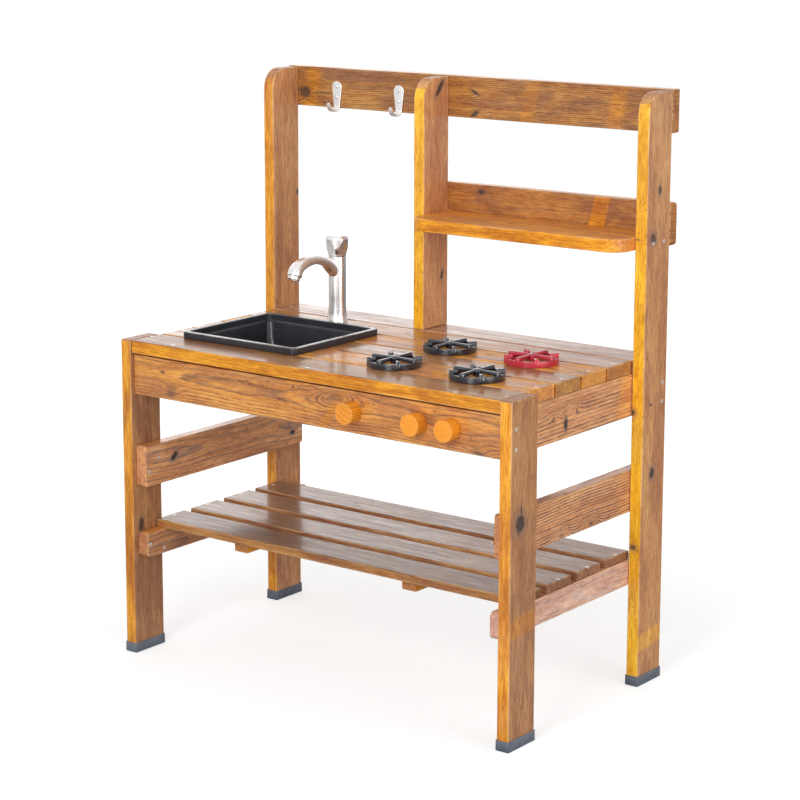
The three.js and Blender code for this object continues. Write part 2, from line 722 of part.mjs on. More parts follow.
// Coat hooks: a tapered plate with a narrowing arm that turns forward and up
function hookScrewHeights() {
  return [hookTop - hookScrewInset, hookTop - hookScrewInset - hookScrewPitch];
}
function hooks() {
  const plateShape = new THREE.Shape();
  const headRadius = hookPlateWidth / 2;
  plateShape.moveTo(-hookNeckWidth / 2, -hookPlateHeight);
  plateShape.lineTo(hookNeckWidth / 2, -hookPlateHeight);
  plateShape.lineTo(headRadius, -headRadius);
  plateShape.absarc(0, -headRadius, headRadius, 0, Math.PI);
  const plate = new THREE.ExtrudeGeometry(plateShape,
    { depth: hookThickness, bevelEnabled: false, curveSegments: 2 * arcSteps });
  plate.rotateX(Math.PI / 2);
  const middle = -hookThickness / 2;
  const [startReach, lowReach, risingReach] = hookBendReachShares.map((share) => share * hookReach);
  const spine = new THREE.CatmullRomCurve3([
    new THREE.Vector3(0, middle, -hookPlateHeight + hookThickness),
    new THREE.Vector3(0, middle - startReach, -hookDrop + hookThickness * 2),
    new THREE.Vector3(0, -lowReach, -hookDrop + hookThickness / 2),
    new THREE.Vector3(0, -risingReach, -hookDrop + hookTipRise * hookBendRiseShare),
    new THREE.Vector3(0, -hookReach, -hookDrop + hookTipRise),
  ]);
  const arm = bentBar(spine, unitRectangle,
    steps([hookNeckWidth / 2, hookNeckWidth / 2, hookTipWidth / 2]), () => hookThickness / 2, hookRings);
  const holes = hookScrewHeights().map((z) =>
    rod(hookScrewRadius + fitGap, hookThickness + 2 * cutOverrun)
      .rotateX(Math.PI / 2).translate(0, cutOverrun, z - hookTop));
  const hook = cut(join([plate, arm]), holes);
  const plateRearY = railFrontY - fitGap;
  for (const [side, x] of Object.entries(hookPlaces)) {
    place(`hook_${side}`, hook, satinSteel, x, plateRearY, hookTop);
    hookScrewHeights().forEach((z, i) => {
      place(`hook_screw_${side}_${i === 0 ? 'upper' : 'lower'}`,
        screw(hookScrewRadius, hookThickness + fitGap + hookScrewDepth,
          hookScrewHeadRadius, hookScrewHeadHeight), zincPlate,
        x, plateRearY - hookThickness - fitGap, z, facingFront);
    });
  }
}

legs();
aprons();
worktop();
rails();
lowerShelf();
back();
basin();
tap();
hobs();
knobs();
hooks();

// The origin is on the floor under the middle of the whole object
const frontReach = frontApronY - knobGap - knobLength;
const rearReach = railFrontY + boardThickness;
kitchen.position.y = -(frontReach + rearReach) / 2;

export default kitchen;
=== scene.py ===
"""Looks of a child's outdoor mud kitchen in stained pine.

Every piece is worked out as a surface with numpy over the frame that is loaded below, in metres:
+X right, +Y back, +Z up. The timber keeps the frame's boards and gets eased, worn edges and grain;
the basin, tap, hobs, knobs, hooks and foot caps are rebuilt with their fillets and hollows.
"""
import math
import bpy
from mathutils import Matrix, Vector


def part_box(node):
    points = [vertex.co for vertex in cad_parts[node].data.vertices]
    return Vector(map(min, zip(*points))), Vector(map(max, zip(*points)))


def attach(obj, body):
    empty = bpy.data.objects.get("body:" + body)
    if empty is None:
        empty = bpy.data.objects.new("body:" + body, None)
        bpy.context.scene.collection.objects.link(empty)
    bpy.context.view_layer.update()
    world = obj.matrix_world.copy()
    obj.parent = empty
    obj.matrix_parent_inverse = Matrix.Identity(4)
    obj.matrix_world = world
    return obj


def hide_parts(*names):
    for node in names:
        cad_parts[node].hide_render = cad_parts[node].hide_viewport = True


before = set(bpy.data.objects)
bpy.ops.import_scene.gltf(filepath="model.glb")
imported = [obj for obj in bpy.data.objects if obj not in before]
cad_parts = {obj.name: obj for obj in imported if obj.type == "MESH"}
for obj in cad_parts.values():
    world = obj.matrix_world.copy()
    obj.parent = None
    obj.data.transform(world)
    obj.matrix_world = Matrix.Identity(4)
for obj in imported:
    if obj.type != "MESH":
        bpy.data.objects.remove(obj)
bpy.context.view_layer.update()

from types import SimpleNamespace

import bpy
import numpy as np
from bpy.props import FloatProperty, FloatVectorProperty, PointerProperty
from mathutils import Matrix, Vector

bl_info = {
    "name": "Mud kitchen",
    "version": (1, 0, 0),
    "blender": (4, 5, 0),
    "location": "3D View > Sidebar > Mud kitchen",
    "description": "Finished pieces of an outdoor play kitchen in stained pine",
    "category": "Object",
}

MM = 0.001
ALONG_X, ALONG_Y, ALONG_Z = (1, 0, 0), (0, 1, 0), (0, 0, 1)
QUARTER = math.pi / 2
# Turns that point a shape's own +Z to the front, the back, the right and the left
TO_FRONT, TO_BACK = Matrix.Rotation(QUARTER, 4, "X"), Matrix.Rotation(-QUARTER, 4, "X")
TO_RIGHT, TO_LEFT = Matrix.Rotation(QUARTER, 4, "Y"), Matrix.Rotation(-QUARTER, 4, "Y")


# Surfaces

def unit(vectors):
    """Each vector divided by its length."""
    return vectors / np.linalg.norm(vectors, axis=-1, keepdims=True)


def round_angles(sides):
    """Angles evenly round a circle, the first of them 0."""
    return np.arange(sides) / sides * math.tau


def signed_power(values, power):
    """Each value's size raised to a power, with its sign kept."""
    return np.sign(values) * np.abs(values) ** power


def travelled(points):
    """How far along their path the points lie: the running sum of the steps between them."""
    return np.concatenate([[0], np.cumsum(np.linalg.norm(np.diff(points, axis=0), axis=1))])


def box_of(node):
    """The low and the high corner of a node's box, as arrays."""
    return tuple(np.array(corner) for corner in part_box(node))


def soft_profile(points, cuts, steps):
    """A profile whose inner corners are eased: each is replaced by the quadratic curve from a point a
    cut before the corner to a point a cut after it, with the corner as its control point. The cuts
    are measured in the first two columns, and further columns follow in the same share."""
    points, cuts = np.asarray(points, float), np.asarray(cuts, float)
    middle = points[1:-1]
    back, ahead = points[:-2] - middle, points[2:] - middle
    before = middle + back * (cuts / np.hypot(back[:, 0], back[:, 1]))[:, None]
    after = middle + ahead * (cuts / np.hypot(ahead[:, 0], ahead[:, 1]))[:, None]
    share = np.linspace(0, 1, steps + 1)[None, :, None]
    curve = ((1 - share) ** 2 * before[:, None] + 2 * share * (1 - share) * middle[:, None]
             + share ** 2 * after[:, None])
    return np.concatenate([points[:1], curve.reshape(-1, points.shape[1]), points[-1:]])


def rounded_rings(corners, insets, radii, side_steps, arc_steps=6):
    """Rings round an anticlockwise outline, one for each inset. At a corner the centre of the arc lies
    on the mitre line, an inset and a radius inside both sides, or outside for a corner that turns in.
    The arc runs from one side's normal to the next one's, and the sides are divided evenly."""
    corners = np.asarray(corners, float)
    insets, radii = np.asarray(insets, float), np.maximum(np.asarray(radii, float), 1e-5)
    way_out = unit(np.roll(corners, -1, axis=0) - corners)
    way_in = np.roll(way_out, 1, axis=0)
    normal_in = np.stack([-way_in[:, 1], way_in[:, 0]], axis=1)
    normal_out = np.stack([-way_out[:, 1], way_out[:, 0]], axis=1)
    turn = np.arctan2(way_in[:, 0] * way_out[:, 1] - way_in[:, 1] * way_out[:, 0],
                      (way_in * way_out).sum(axis=1))
    bulge = np.sign(turn) * radii
    mitre = (normal_in + normal_out) / (1 + (normal_in * normal_out).sum(axis=1))[:, None]
    pivots = corners + mitre * (insets[:, None] + bulge)[..., None]
    angle = (np.arctan2(normal_in[:, 1], normal_in[:, 0])[:, None]
             + turn[:, None] * np.linspace(0, 1, arc_steps + 1))
    spokes = np.stack([np.cos(angle), np.sin(angle)], axis=-1)
    arcs = pivots[:, :, None] - bulge[..., None, None] * spokes
    stretches = []
    for corner, steps in enumerate(side_steps):
        end, start = arcs[:, corner, -1:], arcs[:, (corner + 1) % len(corners), :1]
        share = (np.arange(1, steps) / steps)[None, :, None]
        stretches += [arcs[:, corner], end + (start - end) * share]
    return np.concatenate(stretches, axis=1)


def rectangle(half_a, half_b):
    """The four corners of a rectangle about the origin, anticlockwise."""
    return np.array([[-half_a, -half_b], [half_a, -half_b], [half_a, half_b], [-half_a, half_b]])


def ring_faces(rows, columns):
    """The quads between closed rings that follow each other."""
    first = np.arange((rows - 1) * columns).reshape(rows - 1, columns)
    after = np.roll(first, -1, axis=1)
    return np.stack([first, after, after + columns, first + columns], axis=-1).reshape(-1, 4)


def skin(rings):
    """A closed skin through rings of points: quads between them and one face at each end."""
    rows, columns = rings.shape[:2]
    last = (rows - 1) * columns
    ends = np.stack([np.arange(columns)[::-1], last + np.arange(columns)])
    return rings.reshape(-1, 3), [ring_faces(rows, columns), ends]


def turned_rings(profile, sides):
    """Rings of a turned piece: each profile point (radius, height) goes once round the Z axis."""
    profile = np.asarray(profile, float)
    angle = round_angles(sides)
    radius = profile[:, :1]
    return np.stack([radius * np.cos(angle), radius * np.sin(angle), profile[:, 1:] + 0 * angle], axis=-1)


def turned(profile, sides):
    """A closed turned piece from a profile that starts and ends beside the Z axis."""
    return skin(turned_rings(profile, sides))


def joined(*shapes):
    """Several closed shells as one list of points and faces."""
    points, faces, count = [], [], 0
    for shape_points, shape_faces in shapes:
        points.append(shape_points)
        faces += [face + count for face in shape_faces]
        count += len(shape_points)
    return np.concatenate(points), faces


def moved(shape, matrix):
    """The shape with every point multiplied by a 4 by 4 matrix."""
    points, faces = shape
    matrix = np.array(matrix)
    return points @ matrix[:3, :3].T + matrix[:3, 3], faces


def placed(x, y, z, turn=Matrix()):
    """The matrix that turns a shape and then carries it to a place."""
    return Matrix.Translation((x, y, z)) @ turn


def outward(points, faces):
    """The faces turned so that the sum of their signed tetrahedra about the origin is positive."""
    volume = sum((points[f[:, :1]] * np.cross(points[f[:, 1:-1]], points[f[:, 2:]])).sum() for f in faces)
    return faces if volume > 0 else [f[:, ::-1] for f in faces]


def add_piece(name, shape, material, body, nodes=(), flat_sets=(), edge=None):
    """Writes a shape into a mesh object that rides on a body and stands for the nodes. Face sets are smooth
    unless they are named flat, and edge is a mask with one value for each point: rubbed edges, and on the
    basin and the hobs painted highlights."""
    points, faces = shape
    faces = outward(points, faces)
    mesh = bpy.data.meshes.new(name)
    mesh.vertices.add(len(points))
    mesh.vertices.foreach_set("co", np.ascontiguousarray(points, np.float32).ravel())
    corners = np.concatenate([f.ravel() for f in faces]).astype(np.int32)
    sizes = np.concatenate([np.full(len(f), f.shape[1]) for f in faces])
    mesh.loops.add(len(corners))
    mesh.loops.foreach_set("vertex_index", corners)
    mesh.polygons.add(len(sizes))
    mesh.polygons.foreach_set("loop_start", (np.cumsum(sizes) - sizes).astype(np.int32))
    smooth = np.concatenate([np.full(len(f), i not in flat_sets) for i, f in enumerate(faces)])
    mesh.update(calc_edges=True)
    mesh.polygons.foreach_set("use_smooth", smooth)
    if edge is not None:
        mesh.attributes.new("edge", "FLOAT", "POINT").data.foreach_set("value", edge.astype(np.float32))
    if mesh.validate():
        raise RuntimeError(f"{name} has faces that don't hold together")
    piece = bpy.data.objects.new(name, mesh)
    bpy.context.scene.collection.objects.link(piece)
    mesh.materials.append(material)
    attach(piece, body)
    if nodes:
        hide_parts(*nodes)


def seed_of(name):
    """A seed for each piece, from the letters of its name."""
    return sum((i + 1) * ord(letter) for i, letter in enumerate(name)) % 997


# Timber

# For the axis that a board's thickness lies on: the two axes of its face, and that axis
FACE_AXES = {"x": (1, 2, 0), "y": (0, 2, 1), "z": (0, 1, 2)}
FACE_GAP = 0.15 * MM
DENT_DEPTH = 0.3 * MM
LEAST_RADIUS = 0.8 * MM


def board_rows(thickness, arris):
    """The rows of a board's section from one face to the other, as (inset, height, wear, dent). Each
    arris is a quarter circle; wear is 1 on it and fades to 0 within a few millimetres."""
    quarter = np.radians([0, 30, 60, 90])
    lower = np.stack([arris * (1 - np.sin(quarter)), arris * (1 - np.cos(quarter)),
                      [0.45, 1, 1, 0.45], [0.6, 1, 1, 0.6]], axis=1)
    flat = [[arris + 3 * MM, 0, 0, 0]]
    side = [[0, arris + 3 * MM, 0, 0]]
    half = np.concatenate([flat, lower, side])
    upper = half[::-1] * [1, -1, 1, 1] + [0, thickness, 0, 0]
    return np.concatenate([half, upper])


def board_shape(node, through, radii, notch, arris, lowered):
    """One sawn board, a face gap inside its node's box: the outline of its face is carried through its
    thickness along a section whose inset grows round each arris. The arris is dented inwards by a few
    seeded waves along it. A lowered board stops short of what lies on it, as a board that has shrunk
    does. Returns the shape and each point's wear."""
    low, high = box_of(node)
    low, high = low + FACE_GAP, high - FACE_GAP - [0, 0, lowered]
    a, b, t = FACE_AXES[through]
    outline = [[low[a], low[b]], [high[a], low[b]], [high[a], high[b]], [low[a], high[b]]]
    corner_radii = np.array(radii, float)
    if notch is not None:
        left, right, depth = notch
        outline[1:1] = [[left, low[b]], [left, low[b] + depth], [right, low[b] + depth], [right, low[b]]]
        corner_radii = np.array([0, 0, 3 * MM, 3 * MM, 0, 0, 0, 0])
    outline = np.array(outline)
    rows = board_rows(high[t] - low[t], arris)
    insets, heights, wear, dent = rows.T
    way = np.roll(outline, -1, axis=0) - outline
    steps = np.clip((np.linalg.norm(way, axis=1) / (11 * MM)).astype(int), 3, 120)
    before = np.roll(way, 1, axis=0)
    inward = np.sign(before[:, 0] * way[:, 1] - before[:, 1] * way[:, 0])
    least = np.maximum(corner_radii, LEAST_RADIUS)
    ring_radii = np.maximum(least - inward * insets[:, None], 0.05 * MM)
    rings = rounded_rings(outline, insets, ring_radii, steps)
    near = rounded_rings(outline, [0.0, MM], np.maximum(least - inward * [[0.0], [MM]], 0.05 * MM), steps)
    ray = (near[0] - near[1]) / MM
    chance = np.random.default_rng(seed_of(node))
    waves = chance.uniform(20, 160, (6, 1))
    depth = np.sin(travelled(near[0]) * waves + chance.uniform(0, math.tau, (6, 1))).mean(axis=0)
    rings = rings - ray * (np.clip(depth, 0, 1) * DENT_DEPTH)[:, None] * dent[:, None, None]
    points = np.empty(rings.shape[:2] + (3,))
    points[..., [a, b]] = rings
    points[..., t] = low[t] + heights[:, None]
    shape, faces = skin(points)
    count = rings.shape[1]
    quads = faces[0].reshape(len(rows) - 1, count, 4)
    eased = (wear[1:] + wear[:-1]) > 0.95
    faces = [quads[eased].reshape(-1, 4), quads[~eased].reshape(-1, 4), faces[1]]
    return (shape, faces), np.repeat(wear, count)


# Node trees

class Tree:
    """Short calls that add nodes to one node tree and join their sockets."""

    def __init__(self, tree):
        self.tree = tree

    def node(self, kind, inputs=None, **settings):
        made = self.tree.nodes.new(kind)
        for key, value in settings.items():
            setattr(made, key, value)
        for key, value in (inputs or {}).items():
            self.put(made.inputs[key], value)
        return made

    def put(self, socket, value):
        if isinstance(value, bpy.types.NodeSocket):
            self.tree.links.new(value, socket)
        else:
            socket.default_value = value

    def math(self, operation, *values):
        return self.node("ShaderNodeMath", dict(enumerate(values)), operation=operation).outputs[0]

    def times(self, first, *others):
        for other in others:
            first = self.math("MULTIPLY", first, other)
        return first

    def plus(self, first, second):
        return self.math("ADD", first, second)

    def less(self, first, second):
        return self.math("SUBTRACT", first, second)

    def over(self, first, second):
        return self.math("DIVIDE", first, second)

    def most(self, first, second):
        return self.math("MAXIMUM", first, second)

    def line(self, value, slope, start):
        """The value times the slope, plus the start."""
        return self.math("MULTIPLY_ADD", value, slope, start)

    def smooth(self, value, low, high, first=0.0, last=1.0):
        """Rises softly from first to last while the value goes from low to high."""
        return self.node("ShaderNodeMapRange", dict(enumerate((value, low, high, first, last))),
                         interpolation_type="SMOOTHSTEP").outputs[0]

    def vector(self, operation, *values):
        made = self.node("ShaderNodeVectorMath", dict(enumerate(values)), operation=operation)
        return made.outputs["Value" if operation in ("DOT_PRODUCT", "LENGTH") else 0]

    def scale(self, vector, factor):
        return self.node("ShaderNodeVectorMath", {0: vector, "Scale": factor}, operation="SCALE").outputs[0]

    def mix(self, share, first, second):
        """A colour between two others, by a share from 0 to 1."""
        return self.node("ShaderNodeMix", {0: share, 6: first, 7: second}, data_type="RGBA").outputs[2]

    def noise(self, vector, scale, detail=2.0, roughness=0.5, stretch=None, distortion=0.0):
        if stretch is not None:
            vector = self.vector("MULTIPLY", vector, stretch)
        return self.node("ShaderNodeTexNoise", {"Vector": vector, "Scale": scale, "Detail": detail,
                                                "Roughness": roughness, "Distortion": distortion}).outputs[0]

    def apart(self, vector):
        return self.node("ShaderNodeSeparateXYZ", {0: vector}).outputs

    def together(self, x, y, z):
        return self.node("ShaderNodeCombineXYZ", {0: x, 1: y, 2: z}).outputs[0]

    def group(self, name, inputs):
        return self.node("ShaderNodeGroup", inputs, node_tree=bpy.data.node_groups[name]).outputs

    def place(self):
        """The point's own place on its piece."""
        return self.node("ShaderNodeTexCoord").outputs["Object"]

    def around(self, centre, turn=Matrix.Identity(3)):
        """The point's place about a centre, turned."""
        return self.node("ShaderNodeMapping", {"Vector": self.place(), "Location": -(turn @ Vector(centre)),
                                               "Rotation": turn.to_euler()}).outputs[0]

    def edge_mask(self):
        """The mask that a piece's mesh carries: rubbed edges, and on the basin and the hobs painted
        highlights.
        """
        return self.node("ShaderNodeAttribute", attribute_name="edge").outputs["Fac"]


def new_group(name, inputs, outputs):
    """A shader node group with named inputs and outputs. An input is a number, a vector or a colour by how
    many numbers its default has, and an output is a number unless it is called Color. Returns the
    group's tree, its inputs and its end."""
    group = bpy.data.node_groups.new(name, "ShaderNodeTree")
    kinds = {1: "NodeSocketFloat", 3: "NodeSocketVector", 4: "NodeSocketColor"}
    for label, default in inputs.items():
        socket = group.interface.new_socket(label, in_out="INPUT", socket_type=kinds[np.size(default)])
        socket.default_value = default
    for label in outputs:
        group.interface.new_socket(label, in_out="OUTPUT", socket_type=kinds[4 if label == "Color" else 1])
    tree = Tree(group)
    return tree, tree.node("NodeGroupInput").outputs, tree.node("NodeGroupOutput").inputs


# How fine each pattern of the wood is, in waves a metre along, across and through the board
RIPPLE, BREAKS, FIBRE = (20, 110, 110), (24, 160, 160), (34, 300, 300)
STREAK, BLOTCH, SPECK = (7, 110, 110), (5, 18, 18), (140, 260, 260)


def pine_rings_group():
    """Growth rings: the distance from a wandering pith line, divided by the ring width. Within a ring the
    wood darkens towards its end and then pales at once, and each ring has a strength of its own."""
    tree, given, out = new_group("Pine rings", {
        "Vector": (0, 0, 0), "Shift": 0, "Pith across": 0, "Pith depth": 0.04, "Lean": 0.02,
        "Ring width": 0.004, "Sway": 0.01, "Push": 0}, ("Late", "Fibre", "Streak", "Blotch", "Speck"))
    shift = given["Shift"]
    x, y, z = tree.apart(given["Vector"])
    sway, dip = (tree.times(tree.less(tree.noise(tree.together(x, lane, shift), scale, 1.5), 0.5),
                            given["Sway"]) for lane, scale in ((0.0, 3.0), (5.0, 3.6)))
    across = tree.less(tree.less(y, given["Pith across"]), tree.line(given["Lean"], x, sway))
    depth = tree.plus(tree.less(z, given["Pith depth"]), dip)
    reach = tree.math("SQRT", tree.plus(tree.times(across, across), tree.times(depth, depth)))
    own_place = tree.vector("ADD", given["Vector"], tree.together(shift, shift, 0.0))
    ripple = tree.less(tree.noise(own_place, 1.0, 3, 0.6, RIPPLE), 0.5)
    reach = tree.less(tree.line(ripple, 0.0022, reach), given["Push"])
    count = tree.plus(tree.over(reach, given["Ring width"]), shift)
    part = tree.math("FRACT", count)
    strength = tree.node("ShaderNodeTexWhiteNoise", {"W": tree.math("FLOOR", count)},
                         noise_dimensions="1D").outputs[0]
    late = tree.times(tree.smooth(part, 0.46, 0.76), tree.smooth(part, 0.92, 1.0, 1.0, 0.0))
    broken = tree.smooth(tree.noise(own_place, 1.0, 3, 0.6, BREAKS), 0.36, 0.56, 0.5, 1.0)
    tree.put(out["Late"], tree.times(late, tree.line(strength, 0.7, 0.3), broken))
    tree.put(out["Fibre"], tree.noise(own_place, 1.0, 3, 0.75, FIBRE))
    tree.put(out["Streak"], tree.noise(own_place, 1.0, 4, 0.65, STREAK))
    tree.put(out["Blotch"], tree.noise(own_place, 1.0, 4, 0.6, BLOTCH, 0.8))
    tree.put(out["Speck"], tree.smooth(tree.noise(own_place, 1.0, 2, 0.5, SPECK), 0.64, 0.74))


def pine_knot_group():
    """A knot: an ellipsoid along the grain whose edge wobbles. Core is its dark inside, Halo the darker
    wood round it, and Push bends the rings aside by its size times a bell curve of the distance, further
    where the knot itself is pale, so that the rings close round it like an eye. Past a darkness of 1 the
    push fades away, and the knot is a patch of stain."""
    tree, given, out = new_group("Pine knot", {
        "Vector": (0, 0, 0), "Centre": (0, 0, 0), "Size": 0.008, "Stretch": 1.6, "Slant": 0, "Reach": 1,
        "Darkness": 1}, ("Core", "Halo", "Push"))
    size, darkness = given["Size"], given["Darkness"]
    x, y, z = tree.apart(tree.vector("SUBTRACT", given["Vector"], given["Centre"]))
    slid = tree.less(y, tree.times(given["Slant"], x))
    far = tree.vector("LENGTH", tree.together(tree.over(x, tree.times(size, given["Stretch"])),
                                              tree.over(slid, size), tree.over(z, given["Reach"])))
    near = tree.line(tree.less(tree.noise(given["Vector"], 170, 3, 0.6), 0.5), 0.9, far)
    tree.put(out["Core"], tree.times(tree.smooth(near, 0.7, 1.0, 1.0, 0.0), darkness))
    tree.put(out["Halo"], tree.times(tree.smooth(near, 0.8, 2.2, 1.0, 0.0), darkness))
    tree.put(out["Push"], tree.times(tree.math("EXPONENT", tree.times(far, far, -0.2)), size,
                                     tree.smooth(darkness, 0.0, 0.5, 8.0, 1.6),
                                     tree.smooth(darkness, 1.05, 1.5, 1.0, 0.0)))


def pale_band_group():
    """A paler stretch of board: 1 within a half width of a slanted line across the grain."""
    tree, given, out = new_group("Pale band", {
        "Vector": (0, 0, 0), "Place": 0, "Half width": 0.02, "Slant": 0, "Blur": 0.002}, ("Band",))
    x, y, _ = tree.apart(given["Vector"])
    slid = tree.less(x, tree.line(given["Slant"], y, given["Place"]))
    wobble = tree.times(tree.less(tree.noise(given["Vector"], 160, 3), 0.5), given["Blur"])
    far = tree.plus(tree.math("ABSOLUTE", slid), wobble)
    outside = tree.over(tree.less(far, given["Half width"]), given["Blur"])
    tree.put(out["Band"], tree.smooth(outside, -0.5, 0.5, 1.0, 0.0))


def planer_marks_group():
    """Marks of a planing machine: fine waves along the grain, slightly slanted, that come and go."""
    tree, given, out = new_group("Planer marks", {
        "Vector": (0, 0, 0), "Period": 0.0034, "Slant": 0.35, "Above": 0}, ("Marks",))
    x, y, _ = tree.apart(given["Vector"])
    phase = tree.over(tree.line(given["Slant"], y, x), given["Period"])
    wave = tree.line(tree.math("SINE", tree.times(phase, math.tau)), 0.5, 0.5)
    patch = tree.smooth(tree.noise(given["Vector"], 14, 2), 0.3, 0.55)
    side = tree.smooth(y, tree.less(given["Above"], 0.012), given["Above"])
    tree.put(out["Marks"], tree.times(wave, patch, side))


def stained_wood_group():
    """The stain on pine. The early wood takes the gold, the late wood the brown, and knots the dark tone;
    narrow sides and pale bands stay brighter, and rubbed edges show the pale wood. The varnish is thin
    where the stain is bare, along dark streaks and fibres, and on the ends."""
    tree, given, out = new_group("Stained wood", {
        "Late": 0, "Fibre": 0.5, "Streak": 0.5, "Blotch": 0.5, "Speck": 0, "Varnish": 0.9, "Patchy": 0.2,
        "Dull": 1, "Core": 0, "Halo": 0, "Narrow": 0, "End": 0, "End level": 0.85, "Edge": 0, "Rub": 0.5,
        "Band": 0, "Marks": 0, "Early colour": (0.5, 0.2, 0.04, 1), "Late colour": (0.25, 0.09, 0.02, 1),
        "Gold colour": (0.8, 0.34, 0.04, 1), "Knot colour": (0.05, 0.03, 0.02, 1),
        "Worn colour": (0.85, 0.55, 0.25, 1), "Contrast": 0.8}, ("Color", "Roughness", "Height", "Coat"))
    late, fibre, streak, blotch, end, core, marks = (
        given[name] for name in ("Late", "Fibre", "Streak", "Blotch", "End", "Core", "Marks"))
    share = tree.times(late, given["Contrast"], tree.line(end, -0.65, 1.0))
    bare = tree.times(tree.smooth(blotch, 0.45, 0.55), given["Patchy"])
    early = tree.mix(tree.times(bare, tree.line(end, -0.8, 1.0)), given["Early colour"], given["Gold colour"])
    colour = tree.mix(share, early, given["Late colour"])
    deep = tree.vector("MULTIPLY", given["Gold colour"], (0.66, 0.5, 0.7))
    gold = tree.mix(tree.times(share, 0.6), given["Gold colour"], deep)
    dull = tree.most(tree.smooth(streak, 0.36, 0.5, 0.4, 0.0), tree.smooth(blotch, 0.4, 0.56, 0.5, 0.0))
    gold = tree.mix(tree.times(dull, given["Dull"]), gold, deep)
    colour = tree.mix(tree.most(tree.times(given["Narrow"], 0.94), tree.times(given["Band"], 0.85)),
                      colour, gold)
    ends = tree.line(end, tree.less(given["End level"], 1.0), 1.0)
    level = tree.times(tree.smooth(streak, 0.36, 0.62, 0.9, 1.06), tree.smooth(fibre, 0.36, 0.64, 0.82, 1.13),
                       tree.smooth(blotch, 0.34, 0.64, 0.88, 1.1), tree.line(marks, -0.22, ends),
                       tree.line(given["Speck"], -0.4, 1.0))
    deeper = tree.math("POWER", level, 1.5)
    colour = tree.vector("MULTIPLY", colour, tree.together(level, deeper, deeper))
    colour = tree.mix(tree.times(given["Halo"], 0.5), colour, given["Late colour"])
    colour = tree.mix(tree.times(core, 0.94), colour, given["Knot colour"])
    rubbed = tree.times(tree.smooth(streak, 0.42, 0.62), given["Edge"], given["Rub"])
    tree.put(out["Color"], tree.mix(rubbed, colour, given["Worn colour"]))
    tree.put(out["Roughness"], tree.line(fibre, 0.3, tree.line(core, 0.15, 0.3)))
    relief = tree.line(marks, -0.5, tree.line(fibre, 0.6, tree.times(late, -0.6)))
    tree.put(out["Height"], tree.line(core, -1.2, relief))
    tree.put(out["Coat"], tree.times(
        tree.line(bare, -0.85, 1.0), tree.smooth(streak, 0.4, 0.6, 0.5, 1.0),
        tree.smooth(fibre, 0.38, 0.6, 0.62, 1.0), tree.line(end, -0.7, 1.0), given["Varnish"]))


def moulded_plastic_group():
    """Moulded plastic: fine grain, faint scuffs drawn out along one way, and a paler colour where the edge
    mask is set, which is rubbed dust on the foot caps and a painted highlight on the basin and the hobs."""
    tree, given, out = new_group("Moulded plastic", {
        "Vector": (0, 0, 0), "Edge": 0, "Base colour": (0.04, 0.04, 0.045, 1),
        "Scuff and highlight colour": (0.3, 0.3, 0.32, 1), "Scuffs": 0.3, "Gloss": 0.35}, ("Color", "Roughness", "Height"))
    grain = tree.noise(given["Vector"], 900, 2)
    cloud = tree.noise(given["Vector"], 22, 4, 0.6)
    scuff = tree.smooth(tree.noise(given["Vector"], 1.0, 4, 0.65, (45, 45, 260), 1.2), 0.56, 0.72)
    # The edge mask's share: wear on the foot caps, painted highlight on the basin and the hobs
    rubbed = tree.times(tree.smooth(cloud, 0.35, 0.65, 0.35, 1.0), given["Edge"])
    share = tree.most(tree.times(scuff, given["Scuffs"]), rubbed)
    tint = tree.scale(given["Base colour"], tree.smooth(cloud, 0.3, 0.7, 0.8, 1.25))
    tree.put(out["Color"], tree.mix(share, tint, given["Scuff and highlight colour"]))
    tree.put(out["Roughness"], tree.plus(tree.line(cloud, 0.16, given["Gloss"]), tree.times(share, 0.2)))
    tree.put(out["Height"], tree.line(scuff, -0.6, grain))


def brushed_lines_group():
    """Brushed metal: fine lines across the stretched vector vary the tone, the roughness and the relief."""
    tree, given, out = new_group("Brushed lines", {
        "Vector": (0, 0, 0), "Stretch": (40, 40, 2600), "Metal colour": (0.7, 0.68, 0.66, 1),
        "Gloss": 0.22, "Spread": 0.14}, ("Color", "Roughness", "Height"))
    lines = tree.noise(given["Vector"], 1.0, 3, 0.6, given["Stretch"])
    smears = tree.noise(given["Vector"], 45, 3, 0.6)
    tree.put(out["Color"], tree.scale(given["Metal colour"], tree.smooth(lines, 0.25, 0.75, 0.9, 1.08)))
    spread = tree.line(lines, given["Spread"], given["Gloss"])
    tree.put(out["Roughness"], tree.line(smears, 0.1, spread))
    tree.put(out["Height"], lines)


def build_groups():
    """The shared effects, each built once."""
    for build in (pine_rings_group, pine_knot_group, pale_band_group, planer_marks_group,
                  stained_wood_group, moulded_plastic_group, brushed_lines_group):
        build()


# Materials

# Tones that lie over the stain: a pale grey one over a whole board, which is painted sheen of the white room
# in the varnish, and a grey one over its rings
PAINTED_SHEEN, SLATE = (0.50, 0.42, 0.43), (0.12, 0.092, 0.085)


def shaded(colour, level):
    """A colour made lighter or darker, with no part above 1."""
    return [min(part * level, 1) for part in colour]


def blended(first, second, share):
    """A colour between two others."""
    return [a + (b - a) * share for a, b in zip(first, second)]


def new_material(name):
    """A new material, its tree, and its shader, which feeds the output."""
    material = bpy.data.materials.new(name)
    material.use_nodes = True
    material.node_tree.nodes.clear()
    tree = Tree(material.node_tree)
    shader = tree.node("ShaderNodeBsdfPrincipled")
    tree.put(tree.node("ShaderNodeOutputMaterial").inputs["Surface"], shader.outputs[0])
    return material, tree, shader


def set_plain(shader, values):
    """Uniform values, each set on the shader's own socket."""
    for name, value in values.items():
        shader.inputs[name].default_value = value


def dress(tree, shader, made, strength, distance):
    """Feeds a group's colour, roughness and height to the shader."""
    tree.put(shader.inputs["Base Color"], made["Color"])
    tree.put(shader.inputs["Roughness"], made["Roughness"])
    bump = tree.node("ShaderNodeBump", {"Strength": strength, "Distance": distance, "Height": made["Height"]})
    tree.put(shader.inputs["Normal"], bump.outputs[0])


